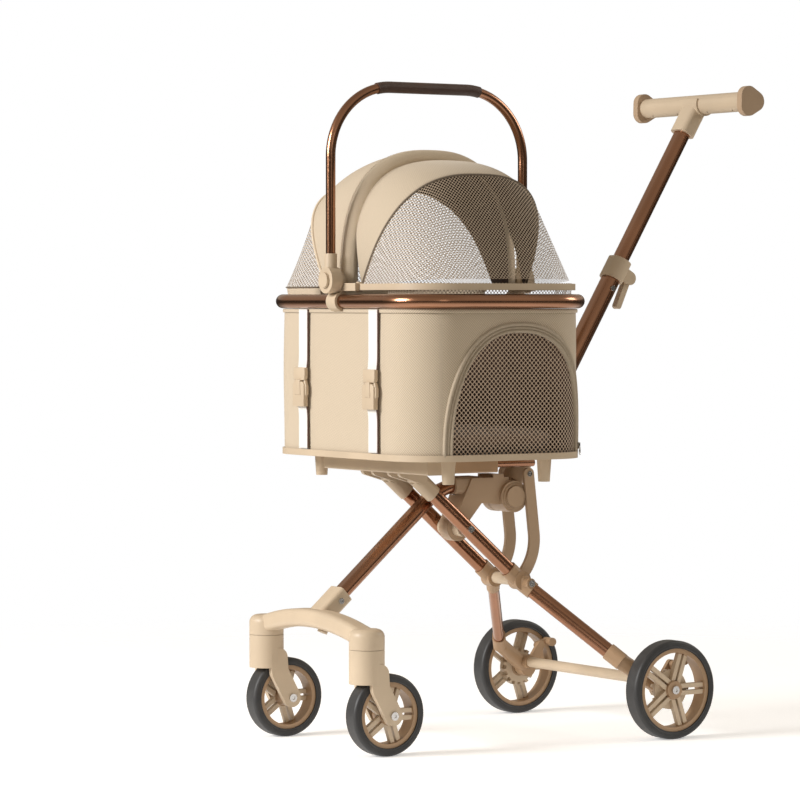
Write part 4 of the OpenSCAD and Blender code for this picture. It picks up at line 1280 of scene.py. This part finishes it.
class STROLLER_OT_straps(bpy.types.Operator):
    """Lays the two webbing straps and their side-release buckles on the front wall"""

    bl_idname = "stroller.straps"
    bl_label = "Straps and buckles"

    def execute(self, context):
        sizes, tints = context.scene.stroller_sizes, context.scene.stroller_colours
        webbing = woven_strap("strap_webbing", tints.webbing)
        plastic = moulded("buckle_plastic", tints.cream, 0.0006)
        # Painted shadow: a dark brown webbing for the strip beside each strap.
        dark = woven_strap("painted_shadow_webbing", shade(tints.leather, 1.2))
        straps, buckles = [], []
        for side, name in ((1, "left"), (-1, "right")):
            x = side * sizes.strap_x
            strap = self.strap(sizes, x, f"strap_{name}")
            finish_piece(strap, "carrier", webbing)
            straps.append(strap)
            # A narrow dark strip along each strap's +X edge is a painted shadow of the strap on the wall.
            trim = self.strap(sizes, x + sizes.strap_w / 2 + 0.0008, f"strap_painted_shadow_{name}", 0.0026, 0.0016)
            finish_piece(trim, "carrier", dark)
            buckle = self.buckle(sizes, x, f"buckle_{name}")
            finish_piece(buckle, "carrier", plastic)
            buckles.append(buckle)
        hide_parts("straps")
        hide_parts("buckles")
        for strap in straps:
            self.run(sizes)
        return {"FINISHED"}

    def line(self, sizes):
        """Height above the floor and how far the strap stands off the wall."""
        low, high = BASE_HIGH.z + 0.001, BAG_HIGH.z - 0.001
        z0 = sizes.buckle_z
        count = 60
        found = []
        for i in range(count + 1):
            z = blended(low, high, i / count)
            near = math.exp(-(((z - z0) / 0.034) ** 4))
            found.append((z, 0.0016 + 0.0032 * near))
        return found

    def run(self, sizes):
        line = self.line(sizes)
        return sum(math.dist(a, b) for a, b in zip(line, line[1:]))

    def strap(self, sizes, x, name, width=None, thick=0.0012):
        width = width or sizes.strap_w
        front = CENTRE_Y - HALF_Y
        path = [Vector((x, front - out, z)) for z, out in self.line(sizes)]
        half = width / 2
        steps = 10
        across = [blended(-half, half, i / steps) for i in range(steps + 1)]
        section = [(a, thick) for a in across] + [(a, 0.0) for a in reversed(across)]
        return sweep(name, path, [Vector((0, -1, 0))] * len(path), section)

    def buckle(self, sizes, x, name):
        """A female body, a male latch with its two prongs, and a button."""
        front = CENTRE_Y - HALF_Y - 0.0040
        z0 = sizes.buckle_z
        body = [(0.0165, -0.030), (0.0165, 0.004), (0.0125, 0.009)]
        latch = [(0.0150, 0.011), (0.0165, 0.016), (0.0165, 0.031)]
        button = [(0.0080, -0.012), (0.0062, 0.012)]
        prong = [
            (0.0165, -0.014),
            (0.0125, -0.014),
            (0.0125, 0.012),
            (0.0150, 0.012),
            (0.0190, 0.002),
            (0.0190, -0.010),
        ]
        shapes = [self.plate(mirrored(body), 0.0085), self.plate(mirrored(latch), 0.0070)]
        shapes += [self.plate([(end * px, pz) for px, pz in prong], 0.0058) for end in (-1, 1)]
        shapes.append(self.plate(mirrored(button), 0.0098))
        for piece in shapes:
            piece.data.transform(Matrix.Translation((x, front, z0)))
        return joined(name, shapes)

    def plate(self, outline, thick):
        """A plate on the wall: an outline in (x, z), with rounded edges."""
        shape = bmesh.new()
        verts = [shape.verts.new((px, 0, pz)) for px, pz in outline]
        face = shape.faces.new(verts)
        grown = bmesh.ops.extrude_face_region(shape, geom=[face])
        for vert in grown["geom"]:
            if isinstance(vert, bmesh.types.BMVert):
                vert.co.y -= thick
        bmesh.ops.recalc_face_normals(shape, faces=shape.faces)
        bmesh.ops.bevel(shape, geom=shape.edges[:], offset=0.0013, segments=3, affect="EDGES", profile=0.5)
        mesh = bpy.data.meshes.new("plate")
        shape.to_mesh(mesh)
        shape.free()
        mesh.polygons.foreach_set("use_smooth", [True] * len(mesh.polygons))
        piece = bpy.data.objects.new("plate", mesh)
        bpy.context.scene.collection.objects.link(piece)
        return piece


# ---- Finishes of the frame's own parts ----


class STROLLER_OT_finishes(bpy.types.Operator):
    """Gives every part of the frame its finish"""

    bl_idname = "stroller.finishes"
    bl_label = "Frame finishes"

    def execute(self, context):
        tints = context.scene.stroller_colours
        made = {
            "copper_tube": anodised("copper_anodised", tints.copper),
            "cream_plastic": moulded("cream_moulding", tints.cream),
            "taupe_plastic": moulded("taupe_moulding", tints.taupe),
            "tan_plastic": moulded("tan_moulding", tints.tan),
            "steel_fastener": steel("bright_steel", tints.steel),
            "brown_leather": leather("grip_leather", tints.leather),
            "cream_fabric": twill("plain_twill", tints.fabric),
            "brown_mesh": netting("plain_netting", tints.mesh, 0.004, 0.6),
            "webbing": woven_strap("plain_webbing", tints.webbing),
        }
        for place in ("rear_left", "rear_right", "front_left", "front_right"):
            end, side = place.split("_")
            self.wheel(end, side, tints)
        slots = {s["node"]: s["material_slot"] for s in frame["record"]["subparts"]}
        for name, node in frame["nodes"].items():
            if slots[name] in made and "_rim_" not in name:
                self.coat(node, made[slots[name]])
        for name, width in (("canopy_band", 0.0040), ("carrier_base", 0.0035)):
            self.soften(frame["nodes"][name], width)
        return {"FINISHED"}

    def soften(self, node, width):
        edge = node.modifiers.new("soft_edge", "BEVEL")
        edge.width = width
        edge.segments = 3
        edge.limit_method = "ANGLE"
        edge.angle_limit = math.radians(50)

    def coat(self, node, material):
        node.data.materials.clear()
        node.data.materials.append(material)

    def wheel(self, end, side, tints):
        tyre = frame["nodes"][f"{end}_tyre_{side}"]
        rim = frame["nodes"][f"{end}_rim_{side}"]
        low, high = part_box(tyre.name)
        axle = (low + high) / 2
        radius = (high.z - low.z) / 2
        self.coat(tyre, rubber(f"{end}_{side}_rubber", tints.rubber, axle, radius))
        inner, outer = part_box(rim.name)
        ring = (outer.z - inner.z) / 2
        self.coat(rim, spoked(f"{end}_{side}_moulding", tints.tan, tints.cream, axle, ring - 0.0085, 0.0155))


# ---- Stage ----


class STROLLER_OT_stage(bpy.types.Operator):
    """Sets the floor, the soft lights and the camera"""

    bl_idname = "stroller.stage"
    bl_label = "Stage"

    def execute(self, context):
        self.floor()
        self.lights(context.scene)
        self.camera(context.scene)
        return {"FINISHED"}

    def floor(self):
        corners = [(x * FLOOR_REACH, y * FLOOR_REACH, 0) for x, y in ((-1, -1), (1, -1), (1, 1), (-1, 1))]
        floor = new_mesh("floor", corners, [(0, 1, 2, 3)])
        floor.data.materials.append(matte("pale_floor", (0.93, 0.92, 0.91)))

    def bands(self):
        """Levels of the studio from straight down to straight up, warmer than white."""
        below = ((0.0, 0.42), (0.30, 0.34), (0.42, 0.04))
        above = ((0.55, 0.06), (0.60, 0.50), (0.78, 0.50), (1.0, 0.36))
        return [(position, (level, level * 0.90, level * 0.76)) for position, level in below + above]

    def world(self):
        """A pale studio with a dark low band that shows the tubes' roundness; white behind the object."""
        world = bpy.data.worlds.new("studio")
        world.use_nodes = True
        sky = Nodes(world.node_tree)
        height = sky.part(sky.node("ShaderNodeTexCoord", out="Generated"), "Z")
        bands = sky.node("ShaderNodeValToRGB", {"stops": self.bands()}, {"Fac": height * 0.5 + 0.5}, "Color")
        studio = sky.node("ShaderNodeBackground", None, {"Color": bands})
        white = sky.node("ShaderNodeBackground", None, {"Color": (1.0, 1.0, 1.0)})
        seen = sky.node("ShaderNodeLightPath", out="Is Camera Ray")
        mixed = sky.node("ShaderNodeMixShader", None, {0: seen, 1: studio, 2: white})
        sky.node("ShaderNodeOutputWorld", None, {"Surface": mixed})
        return world

    def lights(self, scene):
        scene.world = self.world()
        target = Vector((0, -0.1, 0.55))
        for name, place, size, power_w, tint in (
            ("key", (-0.5, -3.8, 2.0), 1.4, 165, (1.0, 0.995, 1.0)),
            ("fill", (4.2, -1.2, 1.6), 1.2, 5, (1.0, 0.96, 0.90)),
            ("back", (1.2, 3.6, 2.4), 1.4, 40, (1.0, 0.98, 0.95)),
        ):
            data = bpy.data.lights.new(name, "AREA")
            data.energy = power_w
            data.size = size
            data.color = tint
            lamp = bpy.data.objects.new(name, data)
            lamp.location = place
            lamp.rotation_euler = (target - Vector(place)).to_track_quat("-Z", "Y").to_euler()
            scene.collection.objects.link(lamp)

    def camera(self, scene):
        data = bpy.data.cameras.new("camera")
        data.lens = 159.6
        data.sensor_width = 36
        data.clip_end = 100
        camera = bpy.data.objects.new("camera", data)
        camera.location = (4.652, REAR_AXLE.y - 3.363, 0.688)
        camera.rotation_euler = (math.radians(90 - 1.61), 0, math.radians(57.22))
        scene.collection.objects.link(camera)
        scene.camera = camera
        scene.view_settings.view_transform = "Standard"


class STROLLER_PT_panel(bpy.types.Panel):
    """Lists the pieces in the sidebar"""

    bl_idname = "STROLLER_PT_panel"
    bl_label = "Pet stroller"
    bl_space_type = "VIEW_3D"
    bl_region_type = "UI"
    bl_category = "Stroller"

    def draw(self, context):
        for operator in PIECES:
            self.layout.operator(operator.bl_idname)
        for group in (context.scene.stroller_sizes, context.scene.stroller_colours):
            for name in group.__annotations__:
                self.layout.prop(group, name)


PIECES = (
    STROLLER_OT_stage,
    STROLLER_OT_finishes,
    STROLLER_OT_bag,
    STROLLER_OT_windows,
    STROLLER_OT_hood,
    STROLLER_OT_near_canopy,
    STROLLER_OT_cushion,
    STROLLER_OT_straps,
)
CLASSES = (StrollerSizes, StrollerColours, *PIECES, STROLLER_PT_panel)


def register():
    for cls in CLASSES:
        bpy.utils.register_class(cls)
    bpy.types.Scene.stroller_sizes = PointerProperty(type=StrollerSizes)
    bpy.types.Scene.stroller_colours = PointerProperty(type=StrollerColours)


def unregister():
    del bpy.types.Scene.stroller_sizes
    del bpy.types.Scene.stroller_colours
    for cls in reversed(CLASSES):
        bpy.utils.unregister_class(cls)


def main():
    register()
    for operator in PIECES:
        getattr(bpy.ops.stroller, operator.bl_idname.split(".")[1])()


if __name__ == "__main__":
    main()
